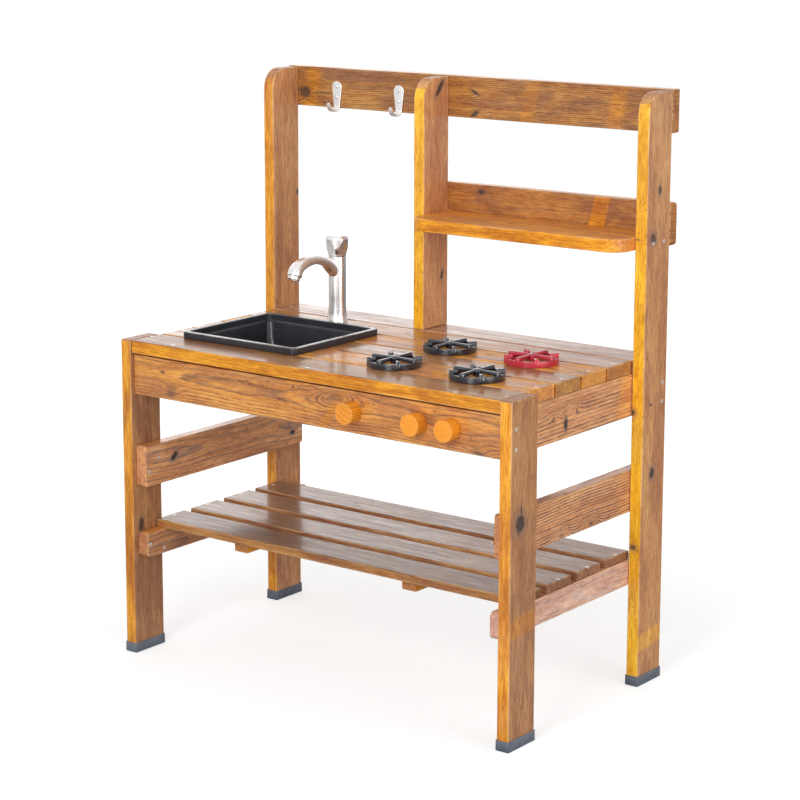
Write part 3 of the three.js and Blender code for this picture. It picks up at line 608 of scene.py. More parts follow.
def grain_of(name, along, across):
    """How one board was sawn and stained: its tones, and where the pith runs beside it, in millimetres.
    What LOOKS leaves out is usual for the way that the board faces, or drawn from the board's own seed."""
    chance = np.random.default_rng(seed_of(name) + 11)
    along, across = Vector(along), Vector(across)
    # Boards whose faces look to the sides get more of the painted sheen
    sideways = abs(along.cross(across).x) > 0.5
    usual = {
        "level": 0.95, "gold": 1.0, "gold_level": 1.0, "contrast": 0.85, "end": 0.85, "late": 1.0,
        "dull": 1.0, "varnish": 0.9, "patchy": 0.06 if sideways else 0.2, "veil": 0.16 if sideways else 0.06,
        "slate": 0.5 if sideways else 0.15, "bands": [], "marks": None,
        "shift": float(chance.uniform(0, 40)),
        "pith_across": float(chance.uniform(-30, 30)),
        "pith_depth": float(chance.choice([-1, 1]) * chance.uniform(22, 60)),
        "lean": float(chance.uniform(-0.035, 0.035)),
        "ring_width": float(chance.uniform(4.0, 6.0)),
        "sway": float(chance.uniform(18, 42)),
    }
    return SimpleNamespace(along=along, across=across, knots=KNOTS.get(name, []),
                           **usual | LOOKS.get(name, {}))


def pine(node, grain, wood):
    """One board's stained pine. Object coordinates are turned so that x runs along the grain, y across the
    face and z through it, and rings, knots and stain are worked out there."""
    material, tree, shader = new_material(f"pine_{node}")
    low, high = box_of(node)
    centre = Vector((low + high) / 2)
    turn = Matrix((grain.along, grain.across, grain.along.cross(grain.across)))
    vector = tree.around(centre, turn)
    core = halo = push = band = marks = 0.0
    for spot, size, stretch, slant, reach, darkness in grain.knots:
        knot = tree.group("Pine knot", {
            "Vector": vector, "Centre": turn @ (Vector(spot) * MM - centre), "Size": size * MM,
            "Stretch": stretch, "Slant": slant, "Reach": reach * MM, "Darkness": darkness})
        core, halo = tree.most(core, knot["Core"]), tree.most(halo, knot["Halo"])
        push = tree.plus(push, knot["Push"])
    for spot, half, slant, blur, strength in grain.bands:
        pale = tree.group("Pale band", {
            "Vector": vector, "Place": spot * MM - centre.dot(grain.along), "Half width": half * MM,
            "Slant": slant, "Blur": blur * MM})
        band = tree.most(band, tree.times(pale["Band"], strength))
    if grain.marks:
        slant, above = grain.marks
        marks = tree.group("Planer marks", {"Vector": vector, "Slant": slant, "Above": above * MM})["Marks"]
    rings = tree.group("Pine rings", {
        "Vector": vector, "Shift": grain.shift, "Pith across": grain.pith_across * MM,
        "Pith depth": grain.pith_depth * MM, "Lean": grain.lean, "Ring width": grain.ring_width * MM,
        "Sway": grain.sway * MM, "Push": push})
    normal = tree.node("ShaderNodeNewGeometry").outputs["True Normal"]
    end, narrow = (tree.smooth(tree.math("ABSOLUTE", tree.vector("DOT_PRODUCT", normal, axis)), 0.75, 0.95)
                   for axis in (grain.along, grain.across))
    # The pale grey blended in here is painted sheen, standing in for the white room that the varnish mirrors
    early = shaded(blended(wood.early, PAINTED_SHEEN, grain.veil), grain.level)
    late = shaded(blended(blended(wood.late, SLATE, grain.slate), PAINTED_SHEEN, grain.veil), grain.level * grain.late)
    gold = blended(early, shaded(wood.gold, grain.gold_level), grain.gold)
    made = tree.group("Stained wood", {
        **{name: rings[name] for name in ("Late", "Fibre", "Streak", "Blotch", "Speck")},
        "Core": core, "Halo": halo, "Narrow": narrow, "End": end, "End level": grain.end,
        "Edge": tree.edge_mask(), "Rub": wood.rub, "Contrast": grain.contrast, "Band": band, "Marks": marks,
        "Varnish": grain.varnish, "Patchy": grain.patchy, "Dull": grain.dull,
        "Early colour": (*early, 1), "Late colour": (*late, 1), "Gold colour": (*gold, 1),
        "Knot colour": (*wood.knot, 1), "Worn colour": (*wood.worn, 1)})
    dress(tree, shader, made, 0.45, 0.0006)
    tree.put(shader.inputs["Coat Weight"], made["Coat"])
    set_plain(shader, {"Specular IOR Level": 0.25, "Coat Roughness": 0.15, "Coat IOR": 1.55})
    return material


# rubbed is the colour over the edge mask: wear on the foot caps, painted highlight on the basin and the hobs
def plastic(name, colour, scuffs, gloss, coat, rubbed=(0.3, 0.3, 0.32), shine=0.5):
    """A moulded plastic for one set of pieces."""
    material, tree, shader = new_material(name)
    made = tree.group("Moulded plastic", {
        "Vector": tree.place(), "Edge": tree.edge_mask(), "Base colour": (*colour, 1), "Scuffs": scuffs,
        "Gloss": gloss, "Scuff and highlight colour": (*rubbed, 1)})
    dress(tree, shader, made, 0.25, 0.0002)
    set_plain(shader, {"Specular IOR Level": shine, "Coat Weight": coat, "Coat Roughness": 0.12})
    return material


def metal(name, colour, stretch, gloss, spread, centre=(0, 0, 0)):
    """A brushed or satin metal whose lines run across the stretched way about a centre."""
    material, tree, shader = new_material(name)
    made = tree.group("Brushed lines", {
        "Vector": tree.around(centre), "Stretch": stretch, "Metal colour": (*colour, 1), "Gloss": gloss,
        "Spread": spread})
    dress(tree, shader, made, 0.12, 0.0001)
    set_plain(shader, {"Metallic": 1.0})
    return material


# Settings that a user would change

class WoodSettings(bpy.types.PropertyGroup):
    """The timber's colours and edges."""

    early: FloatVectorProperty(name="Early wood", description="Stained colour between the rings",
                               default=(0.56, 0.222, 0.045), min=0, max=1, subtype="COLOR")
    late: FloatVectorProperty(name="Late wood", description="Stained colour of the rings",
                              default=(0.19, 0.072, 0.024), min=0, max=1, subtype="COLOR")
    gold: FloatVectorProperty(name="Narrow sides", description="Brighter colour of the boards' narrow sides",
                              default=(0.9, 0.36, 0.012), min=0, max=1, subtype="COLOR")
    knot: FloatVectorProperty(name="Knots", description="Colour of the knots' cores",
                              default=(0.06, 0.04, 0.033), min=0, max=1, subtype="COLOR")
    worn: FloatVectorProperty(name="Rubbed edges", description="Pale wood where the stain is rubbed off",
                              default=(0.80, 0.50, 0.22), min=0, max=1, subtype="COLOR")
    rub: FloatProperty(name="Edge rub", description="How much of the edges is rubbed pale",
                       default=0.55, min=0, max=1, subtype="FACTOR")
    arris: FloatProperty(name="Arris", description="Radius of the boards' eased edges",
                         default=0.002, min=0.0005, max=0.004, subtype="DISTANCE", unit="LENGTH")


class FittingSettings(bpy.types.PropertyGroup):
    """The plastic and metal fittings' colours and sizes."""

    basin: FloatVectorProperty(name="Basin", description="Colour of the basin's plastic",
                               default=(0.02, 0.02, 0.027), min=0, max=1, subtype="COLOR")
    hob: FloatVectorProperty(name="Hobs", description="Colour of the black hob rings",
                             default=(0.006, 0.01, 0.022), min=0, max=1, subtype="COLOR")
    hot_hob: FloatVectorProperty(name="Red hob", description="Colour of the one red hob ring",
                                 default=(0.52, 0.02, 0.045), min=0, max=1, subtype="COLOR")
    tap: FloatVectorProperty(name="Tap", description="Colour of the brushed tap",
                             default=(0.90, 0.87, 0.86), min=0, max=1, subtype="COLOR")
    knob: FloatVectorProperty(name="Knobs", description="Colour of the turned knobs",
                              default=(0.88, 0.30, 0.004), min=0, max=1, subtype="COLOR")
    screw_head: FloatProperty(name="Screw heads", description="Diameter of the wood screws' heads",
                              default=0.0085, min=0.004, max=0.012, subtype="DISTANCE", unit="LENGTH")


class StageSettings(bpy.types.PropertyGroup):
    """The floor's and the lamps' levels."""

    floor: FloatVectorProperty(name="Floor", description="Colour of the floor",
                               default=(0.62, 0.62, 0.62), min=0, max=1, subtype="COLOR")
    key: FloatProperty(name="Front lamp", description="Power of the large lamp in front",
                       default=95, min=0, max=1000, unit="POWER")
    fill: FloatProperty(name="Side lamp", description="Power of the lamp at the right",
                        default=45, min=0, max=1000, unit="POWER")
    ambient: FloatProperty(name="Room light", description="Level of the light from all round",
                           default=0.74, min=0, max=2, subtype="FACTOR")


# Boards and how each was sawn

DRAWING_SHIFT = 3.4


def world_y(drawn_y):
    """A depth measured on the source's drawing, in the frame's own depth, in millimetres."""
    return drawn_y - DRAWING_SHIFT


# Corner radii of the rounded boards, the shrinkage of the front apron and the depth of the basin's notch
CORNER = {"leg": 5 * MM, "upright": 44 * MM, "middle_rail": 6 * MM, "bottom_rail": 10 * MM,
          "top_rail": 4 * MM, "shelf_rail": 8 * MM, "upper_shelf": 40 * MM}
APRON_SHRUNK, NOTCH_DEPTH = 3.5 * MM, 79.5 * MM

# The knots of each board: the middle in millimetres, the half width across the grain, how much longer it
# is along the grain, its slant, how deep it goes, and how dark it is
KNOTS = {
    "leg_front_right": [((507.5, world_y(-250.9), 453.7), 17, 1.1, 0.05, 12, 1),
                        ((507.5, world_y(-248), 474), 2.6, 7, 0.03, 9, 0.9),
                        ((507.5, world_y(-255), 440), 5, 2, 0.3, 9, 0.7)],
    "leg_front_left": [((-479.5, world_y(-260), 286), 8, 2.2, 0.1, 1000, 1)],
    "upright_rear_right": [((507.5, world_y(241.5), 1046), 7, 1.55, 0.0, 12, 0.9),
                           ((507.5, world_y(219.6), 949), 12, 1.0, 0.0, 12, 0.8),
                           ((507.5, world_y(234), 455), 10, 1.3, 0.1, 12, 1),
                           ((507.5, world_y(224), 602), 5, 0.6, 0.0, 9, 0.9),
                           ((480, world_y(194), 588), 4, 2.0, 0.0, 9, 0.9),
                           ((487, world_y(194), 948), 8, 0.2, 0.35, 9, 0.6),
                           ((490, world_y(194), 300.6), 4, 1.8, 0.0, 9, 0.8)],
    "upright_rear_left": [((-479.5, world_y(278), 959), 4, 1.5, 0.0, 12, 1)],
    "upright_middle": [((-55, world_y(250), 1222), 8.5, 2.4, 0.7, 9, 1),
                       ((-55, world_y(262), 812), 5, 2.2, 0.3, 9, 0.9)],
    "apron_right": [((479.2, world_y(-56), 636), 5, 3.4, 0.0, 1000, 0.0),
                    ((479.2, world_y(-53), 609), 12, 0.45, 0.0, 10, 1.75)],
    "middle_rail_right": [((479.2, world_y(-64), 384), 5, 2.2, 0.0, 1000, 0.15),
                          ((479.2, world_y(47), 385.6), 5, 2.2, 0.0, 1000, 0.15)],
    "middle_rail_left": [((-451.2, world_y(-182.5), 428), 8, 1.3, 0.5, 12, 1.5),
                         ((-451.2, world_y(221), 405), 5.5, 1.5, 0.0, 12, 1.5)],
    "apron_front": [((-373, -278, 593), 7, 1.7, 0.0, 1000, 0.55),
                    ((-396, -278, 637), 2.4, 1.4, 0.0, 12, 0.9),
                    ((-162, -278, 648), 1.8, 1.4, 0.0, 9, 0.9), ((-104, -278, 655), 1.8, 1.4, 0.0, 9, 0.9),
                    ((-37, -278, 655), 1.8, 1.6, 0.0, 9, 0.9), ((-20, -278, 652), 1.5, 1.6, 0.0, 9, 0.9),
                    ((73, -278, 646), 8, 2.4, 0.15, 1000, 0.4), ((427, -278, 583), 6, 2.2, -0.1, 1000, 0.85)],
    "top_rail": [((-460, 282, 1190), 14, 1.2, 0.0, 1000, 0.85), ((-410, 282, 1190), 1.4, 20, 0.0, 9, 0.9),
                 ((14, 282, 1168), 5.5, 2.0, 0.5, 9, 1), ((15, 282, 1214), 3.4, 3.4, -0.45, 9, 1)],
    "shelf_rail": [((33, 282, 999), 5.5, 1.5, 0.0, 12, 1), ((-65, 282, 953), 4, 1.5, 0.0, 12, 0.9)],
    "worktop_board_3_right": [((250, -50, 697), 5, 1.6, 0.0, 1000, 0.7),
                              ((60, -30, 697), 6, 2.2, 0.1, 12, 0.6)],
    "worktop_board_5": [((-60, 140, 697), 6, 1.7, 0.0, 1000, 0.8)],
    "worktop_board_4": [((210, 60, 697), 4, 2.6, 0.1, 12, 0.8)],
    "shelf_slat_2": [((160, -60, 290), 5, 1.8, 0.0, 1000, 0.8)],
    "shelf_slat_4": [((-210, 150, 290), 6, 1.6, 0.0, 1000, 0.8)],
    "apron_rear": [((-180, 280, 640), 7, 1.8, 0.0, 1000, 0.9), ((260, 280, 606), 5, 1.6, 0.0, 1000, 0.8)],
    "worktop_board_6": [((330, 236, 697), 4, 3.0, 0.1, 12, 0.9)],
}
# The straight, close grain of the legs and uprights
FINE = {"pith_depth": 14, "ring_width": 4.4, "sway": 12, "lean": 0.006}
# What each board changes of the usual tones and grain, with lengths in millimetres. A band is a paler
# stretch: its place along the grain, its half width, its slant, its blur and its strength. Marks are a
# planer's: their slant and their lower end
LOOKS = {
    "leg_front_left": {"level": 0.8, "gold_level": 0.82, "contrast": 0.5, "pith_across": 92, **FINE},
    "leg_front_right": {"level": 0.84, "gold_level": 0.95, "contrast": 0.5, "pith_across": 84, **FINE,
                        "bands": [(249, 20, 0.1, 10, 0.5)]},
    # Its raised level is partly painted light, lightening its lower part in the shade under the worktop
    "upright_rear_left": {"level": 1.14, "gold_level": 0.93, "contrast": 0.5, "pith_across": -86, **FINE},
    "upright_rear_right": {"level": 1.05, "dull": 0.05, "gold_level": 1.42, "contrast": 0.35,
                           "pith_across": 98, **FINE, "bands": [(97, 18, 0.1, 10, 0.5)]},
    "upright_middle": {"level": 1.25, "dull": 0.3, "gold_level": 1.43, "contrast": 0.4, "pith_across": 88,
                       **FINE},
    "apron_front": {"contrast": 1.1, "veil": 0.04, "ring_width": 4.8, "sway": 26, "level": 1.12,
                    "bands": [(68, 9, 0.7, 8, 0.6)]},
    "apron_right": {"level": 1.37, "ring_width": 8.0, "gold": 0.3, "contrast": 1.3, "late": 0.68,
                    "pith_across": -75, "pith_depth": 22, "sway": 14, "lean": 0.02,
                    "bands": [(169, 28, 0.3, 20, 0.8)]},
    "apron_left": {"gold": 0.3},
    # The top rail's pale bands are painted light, where light falls between the uprights onto it
    "top_rail": {"level": 0.79, "contrast": 1.0, "late": 0.65, "ring_width": 4.2, "pith_across": -72,
                 "pith_depth": 12, "sway": 16, "lean": 0.01, "end": 1.0, "marks": (0.35, 4),
                 "bands": [(158, 16, 0.25, 20, 0.4), (375, 18, 0.2, 18, 0.5), (-440, 20, 0.3, 26, 0.5)]},
    "shelf_rail": {"level": 0.84, "contrast": 0.45, "ring_width": 5.2, "end": 1.0, "marks": (-0.4, -60),
                   "bands": [(333, 19, 0.22, 2, 1.0)]},
    "upper_shelf": {"level": 1.6, "patchy": 0.4, "contrast": 0.7, "varnish": 0.5, "veil": 0.0},
    "worktop_board_1": {"level": 0.62, "contrast": 0.8, "end": 1.2, "gold_level": 0.88, "varnish": 0.58,
                        "patchy": 0.1},
    "worktop_board_2_left": {"level": 0.95, "gold": 0.4, "end": 1.1},
    "worktop_board_2_right": {"level": 1.3, "gold": 0.9, "end": 1.0, "varnish": 0.65, "patchy": 1.0,
                              "bands": [(20, 60, 0.2, 60, 0.8)]},
    "worktop_board_3_left": {"level": 0.95, "gold": 0.4, "end": 1.1},
    "worktop_board_3_right": {"level": 0.72, "gold": 0.7, "end": 1.2, "varnish": 0.9, "patchy": 0.3},
    "worktop_board_4": {"level": 1.12, "gold": 0.9, "end": 1.0, "varnish": 0.5, "patchy": 1.0,
                        "bands": [(-60, 50, 0.2, 60, 0.8)]},
    "worktop_board_5": {"level": 0.85, "gold": 0.5, "end": 1.1, "varnish": 0.95, "patchy": 0.3},
    "worktop_board_6": {"level": 0.95, "gold": 0.4, "end": 1.1, "varnish": 1.0, "veil": 0.3, "patchy": 0.0},
    "middle_rail_right": {"level": 1.4, "gold": 0.1, "contrast": 1.7, "late": 0.6, "slate": 0.8,
                          "ring_width": 6.2, "pith_across": -82, "pith_depth": 12, "sway": 16, "lean": 0.01},
    # Its raised level is partly painted light, lightening its inner face in the shade under the worktop
    "middle_rail_left": {"level": 1.42, "gold": 0.3, "contrast": 0.8},
    "bottom_rail_right": {"level": 1.48, "gold": 0.3, "veil": 0.5},
    "bottom_rail_left": {"level": 1.15, "gold": 0.6},
    "shelf_slat_1": {"level": 0.47, "gold": 0.25, "veil": 0.2, "varnish": 0.72},
    "shelf_slat_2": {"level": 0.62, "gold": 0.15, "veil": 0.25},
    "shelf_slat_3": {"level": 0.72, "gold": 0.15, "veil": 0.25},
    "shelf_slat_4": {"level": 0.68, "gold": 0.15, "veil": 0.25},
}


def add_board(context, node, through, along, across, radii=(0, 0, 0, 0), notch=None, lowered=0.0):
    """One board as a finished piece, with a grain of its own."""
    wood = context.scene.kitchen_wood
    material = pine(node, grain_of(node, along, across), wood)
    shape, wear = board_shape(node, through, radii, notch, wood.arris, lowered)
    add_piece(f"{node}_timber", shape, material, "frame", [node],
              flat_sets=(1, 2), edge=wear)


class MUDKITCHEN_OT_uprights(bpy.types.Operator):
    """Builds the legs, the uprights, the aprons and the bearer"""
    bl_idname = "mudkitchen.uprights"
    bl_label = "Legs, uprights and aprons"

    def execute(self, context):
        for side in ("left", "right"):
            add_board(context, f"leg_front_{side}", "x", ALONG_Z, ALONG_Y, (0, 0) + (CORNER["leg"],) * 2)
            add_board(context, f"upright_rear_{side}", "x", ALONG_Z, ALONG_Y, (0, 0, 0, CORNER["upright"]))
            add_board(context, f"apron_{side}", "x", ALONG_Y, ALONG_Z)
        add_board(context, "upright_middle", "x", ALONG_Z, ALONG_Y, (0, 0, 0, CORNER["upright"]))
        add_board(context, "worktop_bearer", "x", ALONG_Y, ALONG_Z)
        add_board(context, "apron_front", "y", ALONG_X, ALONG_Z, lowered=APRON_SHRUNK)
        add_board(context, "apron_rear", "y", ALONG_X, ALONG_Z)
        return {"FINISHED"}


class MUDKITCHEN_OT_worktop(bpy.types.Operator):
    """Builds the worktop's boards, two of them parted and one notched round the basin"""
    bl_idname = "mudkitchen.worktop"
    bl_label = "Worktop"

    def execute(self, context):
        for name in ("1", "2_left", "2_right", "3_left", "3_right", "5", "6"):
            add_board(context, f"worktop_board_{name}", "z", ALONG_X, ALONG_Y)
        left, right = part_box("worktop_board_2_left")[1].x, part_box("worktop_board_2_right")[0].x
        add_board(context, "worktop_board_4", "z", ALONG_X, ALONG_Y, notch=(left, right, NOTCH_DEPTH))
        return {"FINISHED"}


class MUDKITCHEN_OT_rails(bpy.types.Operator):
    """Builds the side rails, and the slats and battens of the lower shelf"""
    bl_idname = "mudkitchen.rails"
    bl_label = "Side rails and lower shelf"

    def execute(self, context):
        for side in ("left", "right"):
            add_board(context, f"middle_rail_{side}", "x", ALONG_Y, ALONG_Z, (CORNER["middle_rail"],) * 4)
            add_board(context, f"bottom_rail_{side}", "x", ALONG_Y, ALONG_Z, (CORNER["bottom_rail"],) * 4)
            add_board(context, f"shelf_batten_{side}", "z", ALONG_Y, ALONG_X)
        for number in range(1, 5):
            add_board(context, f"shelf_slat_{number}", "z", ALONG_X, ALONG_Y)
        return {"FINISHED"}


class MUDKITCHEN_OT_back(bpy.types.Operator):
    """Builds the top rail, the shelf rail and the upper shelf"""
    bl_idname = "mudkitchen.back"
    bl_label = "Back and upper shelf"

    def execute(self, context):
        add_board(context, "top_rail", "y", ALONG_X, ALONG_Z, (CORNER["top_rail"],) * 2 + (0, 0))
        add_board(context, "shelf_rail", "y", ALONG_X, ALONG_Z, (CORNER["shelf_rail"],) * 4)
        add_board(context, "upper_shelf", "z", ALONG_X, ALONG_Y, (CORNER["upper_shelf"],) * 2 + (0, 0))
        return {"FINISHED"}


def rectangle_shell(low, high, profile, radii):
    """A closed shell of rounded rectangles: each profile row is an inset from the box and a height."""
    profile = np.asarray(profile, float)
    half, centre = (high - low) / 2, (high + low) / 2
    rings = rounded_rings(rectangle(half[0], half[1]), profile[:, 0],
                          np.repeat(np.asarray(radii, float)[:, None], 4, axis=1), (10, 10, 10, 10), 8)
    heights = np.broadcast_to(profile[:, 1, None, None], rings.shape[:2] + (1,))
    return skin(np.concatenate([rings + centre[:2], heights], axis=2))


class MUDKITCHEN_OT_foot_caps(bpy.types.Operator):
    """Builds the plastic caps on the feet"""
    bl_idname = "mudkitchen.foot_caps"
    bl_label = "Foot caps"

    def execute(self, context):
        material = plastic("cap_plastic", (0.088, 0.112, 0.148), 0.8, 0.45, 0.1)
        for place in ("front_left", "front_right", "rear_left", "rear_right"):
            node = f"foot_cap_{place}"
            low, high = box_of(node)
            top, wall, floor, middle, draft = high[2], 1.6 * MM, 3 * MM, 8 * MM, 0.25 * MM
            profile = soft_profile([[middle, 0], [0, 0], [draft, top], [wall, top], [wall, floor],
                                    [middle, floor]], np.array([1.8, 0.6, 0.6, 0.6]) * MM, 4)
            radii = np.clip(2.5 * MM - profile[:, 0] * 0.4, 0.4 * MM, None)
            shape = rectangle_shell(low, high, profile, radii)
            edge = np.repeat(np.exp(-np.abs(profile[:, 1] - top) / (2 * MM)), len(shape[0]) // len(profile))
            add_piece(f"{node}_moulding", shape, material, "frame", [node],
                      flat_sets=(1,), edge=edge * 0.5)
        return {"FINISHED"}


class MUDKITCHEN_OT_basin(bpy.types.Operator):
    """Builds the drop-in basin with its rolled rim, step and drafted walls"""
    bl_idname = "mudkitchen.basin"
    bl_label = "Basin"

    def execute(self, context):
        low, high = box_of("sink_basin")
        top, wall = high[2], 3 * MM
        under = top - 14.7 * MM
        mouth, step, floor = 12 * MM, top - 14 * MM, top - 125 * MM
        bowl, base, middle = 15 * MM, 29 * MM, 89 * MM
        rows = np.array([
            # inset, height, corner radius, easing
            [middle, floor - wall, 30 * MM, 0],
            [base + 1 * MM, floor - wall, 30 * MM, 10 * MM],
            [bowl - wall, step - wall, 14 * MM, 2 * MM],
            [mouth - wall, step - wall / 2, 11 * MM, 1 * MM],
            [mouth - wall, top - wall, 11 * MM, 1 * MM],
            [wall, top - wall, 11 * MM, 1 * MM],
            [wall, under, 11 * MM, 0.8 * MM],
            [0, under, 14 * MM, 0.8 * MM],
            [0, top, 14 * MM, 2.2 * MM],
            [mouth * 0.55, top, 11 * MM, 1 * MM],
            [mouth, top, 9 * MM, 2.2 * MM],
            [mouth, step, 9 * MM, 1.0 * MM],
            [bowl, step - 3 * MM, 11 * MM, 1.6 * MM],
            [base, floor, 17 * MM, 12 * MM],
            [middle, floor, 30 * MM, 0],
        ])
        profile = soft_profile(rows[:, :3], rows[1:-1, 3], 6)
        shape = rectangle_shell(low, high, profile[:, :2], profile[:, 2])
        # The edge mask here paints a pale highlight on the rim's flat top and a faint one on its outer roll
        above = profile[:, 1] > top - 1.5 * MM
        flat = np.exp(-((profile[:, 0] - mouth * 0.55) / (5.5 * MM)) ** 4) * above
        outer = np.hypot(profile[:, 0] - 1.2 * MM, profile[:, 1] - top + 0.8 * MM) / (1.3 * MM)
        rim_highlight = flat + 0.1 * np.exp(-outer ** 2)
        out = (shape[0][:, :2] - (low[:2] + high[:2]) / 2) / ((high[:2] - low[:2]) / 2)
        # The painted highlight is full on the front and right sides and faint at the back and left
        front = np.clip((np.maximum(out[:, 0], -out[:, 1]) - 0.8) / 0.1, 0.12, 1)
        edge = np.repeat(rim_highlight, len(shape[0]) // len(profile)) * front
        # The near-white colour laid over the edge mask is the painted highlight's
        material = plastic("basin_plastic", context.scene.kitchen_fittings.basin, 0.03, 0.32, 0.4,
                           (0.95, 0.93, 0.94), 0.35)
        add_piece("sink_basin_moulding", shape, material, "frame", ["sink_basin"],
                  flat_sets=(1,), edge=edge)
        return {"FINISHED"}


def spline(points, count):
    """Evenly spaced points and headings on the uniform Catmull-Rom curve through the given points, and how
    many of the given points each has passed."""
    points = np.asarray(points, float)
    padded = np.concatenate([2 * points[:1] - points[1:2], points, 2 * points[-1:] - points[-2:-1]])
    share = np.linspace(0, len(points) - 1, 400)
    piece = np.minimum(share.astype(int), len(points) - 2)
    u = (share - piece)[:, None]
    a, b, c, d = (padded[piece + k] for k in range(4))
    curve = 0.5 * (2 * b + (c - a) * u + (2 * a - 5 * b + 4 * c - d) * u ** 2
                   + (3 * b - a - 3 * c + d) * u ** 3)
    length = travelled(curve)
    even = np.linspace(0, length[-1], count)
    spots = np.stack([np.interp(even, length, curve[:, k]) for k in range(curve.shape[1])], axis=1)
    return spots, unit(np.gradient(spots, axis=0)), np.interp(even, length, share)


def tap_column():
    """The tap's column and its shank, turned. The thread is a cosine of the height."""
    thread = np.arange(0, 29, 0.75)
    shank = np.stack([10 - 0.45 * (1 + np.cos(thread / 1.5 * math.tau)), thread - 58], axis=1)
    column = soft_profile([[10, -29], [10, 0.3], [24, 0.3], [23.6, 3], [20.4, 18], [19, 46], [19, 151.4],
                           [5, 151.4], [5, 163.4], [0.5, 163.4]], [0.2, 0.8, 1.0, 7, 12, 0.9, 0.5, 0.5], 6)
    return turned(np.concatenate([[[0.5, -58]], shank, column]) * MM, 96)


def tap_arm():
    """The arched arm: superellipses of changing width, height and power stand across a curved spine, and
    at the outlet they narrow and turn back up inside. Returns the shape, and the spine's end and heading."""
    spine, heading, passed = spline(np.array([[0, 111.5], [22, 129], [42, 143], [76, 152.5], [106, 152],
                                              [130, 146], [143, 137], [148.5, 125.5]]) * MM, 80)
    half_wide = np.interp(passed, range(8), np.array([12.5, 12.5, 12.5, 13, 13.8, 14.6, 15.4, 16]) * MM)
    half_high = np.interp(passed, range(8), np.array([15.5, 14, 10, 9.6, 10, 11.5, 13.5, 16]) * MM)
    power = np.interp(passed, range(8), [0.9, 0.8, 0.7, 0.62, 0.68, 0.75, 0.88, 1.0])[:, None]
    angle = round_angles(48)
    side = signed_power(np.cos(angle), power)
    rise = signed_power(np.sin(angle), np.where(np.sin(angle) < 0, power * 0.75, 1))
    up = np.stack([-heading[:, 1], heading[:, 0]], axis=1)

    def sections(scale, ahead=0.0, rows=(-1,)):
        """The sections at the rows of the spine, scaled and moved ahead along it."""
        rows = list(rows)
        flat = (spine[rows, None] + heading[rows, None] * ahead
                + up[rows, None] * (rise[rows] * half_high[rows, None] * scale)[..., None])
        across = side[rows] * half_wide[rows, None] * scale
        return np.stack([across, -flat[..., 0], flat[..., 1]], axis=-1)

    eased, bore = -0.6 * MM, -9 * MM
    rings = np.concatenate([
        sections(1.0, rows=range(len(spine) - 1)), sections(1.0, eased), sections(0.96),
        sections(0.7), sections(0.66, eased), sections(0.66, bore)])
    return skin(rings), spine[-1], heading[-1]


def aerator_shape():
    """The ring at the outlet, turned, with a stepped bore."""
    ring = soft_profile([[9, 0.5], [9, 0.3], [13.4, 0.3], [13.4, 8.3], [9.2, 8.3], [9.2, 5], [0.4, 5]],
                        [0.05, 0.5, 1.1, 0.8, 0.5], 4)
    return turned(np.concatenate([[[0.4, 0.5]], ring]) * MM, 64)


def nut_shape():
    """A turned ring whose points are drawn in to six flats: at most the flats' distance over the cosine of
    the angle from the nearest flat's middle."""
    sides, flat, sixth = 60, 15 * MM, math.tau / 6
    nut = soft_profile([[10.3, 4], [10.3, 0], [17.2, 0], [17.2, 8], [10.3, 8], [10.3, 4]],
                       [0.5, 1, 1, 0.5], 3) * MM
    rings = turned_rings(nut, sides)
    angle = np.arctan2(rings[..., 1], rings[..., 0])
    reach = np.hypot(rings[..., 0], rings[..., 1])
    limit = flat / np.cos((angle + sixth / 2) % sixth - sixth / 2)
    rings[..., :2] *= (np.minimum(reach, limit) / reach)[..., None]
    return rings.reshape(-1, 3), [ring_faces(len(nut), sides)]


def handle_shape():
    """The handle is a swelling column of radius base(z). Four hollows cut it: each is a bowl whose
    distance from the axis is least at its middle and grows with the square of the height and of the
    sideways offset, and the surface takes the smaller of the two."""
    rest_turn = 0.15
    levels = soft_profile([[0.5, 0], [19.2, 0], [19.6, 5], [23.6, 17], [24.5, 40], [20.5, 46], [0.5, 46]],
                          [0.6, 3, 5, 3, 2.5], 8)
    gone = travelled(levels)
    even = np.linspace(0, gone[-1], 120)
    radius = np.interp(even, gone, levels[:, 0])[:, None]
    height = np.interp(even, gone, levels[:, 1])[:, None]
    angle = round_angles(160)
    offset = (angle + rest_turn + QUARTER / 2) % QUARTER - QUARTER / 2
    bowl = 18.9 + 0.0075 * np.clip(height - 10, 0, None) ** 2 + 0.018 * (radius * np.sin(offset)) ** 2
    reach = np.where(radius > 17, np.minimum(radius, bowl / np.cos(offset) ** 0.5), radius)
    return skin(np.stack([reach * np.cos(angle), reach * np.sin(angle), height + 0 * angle], axis=-1) * MM)


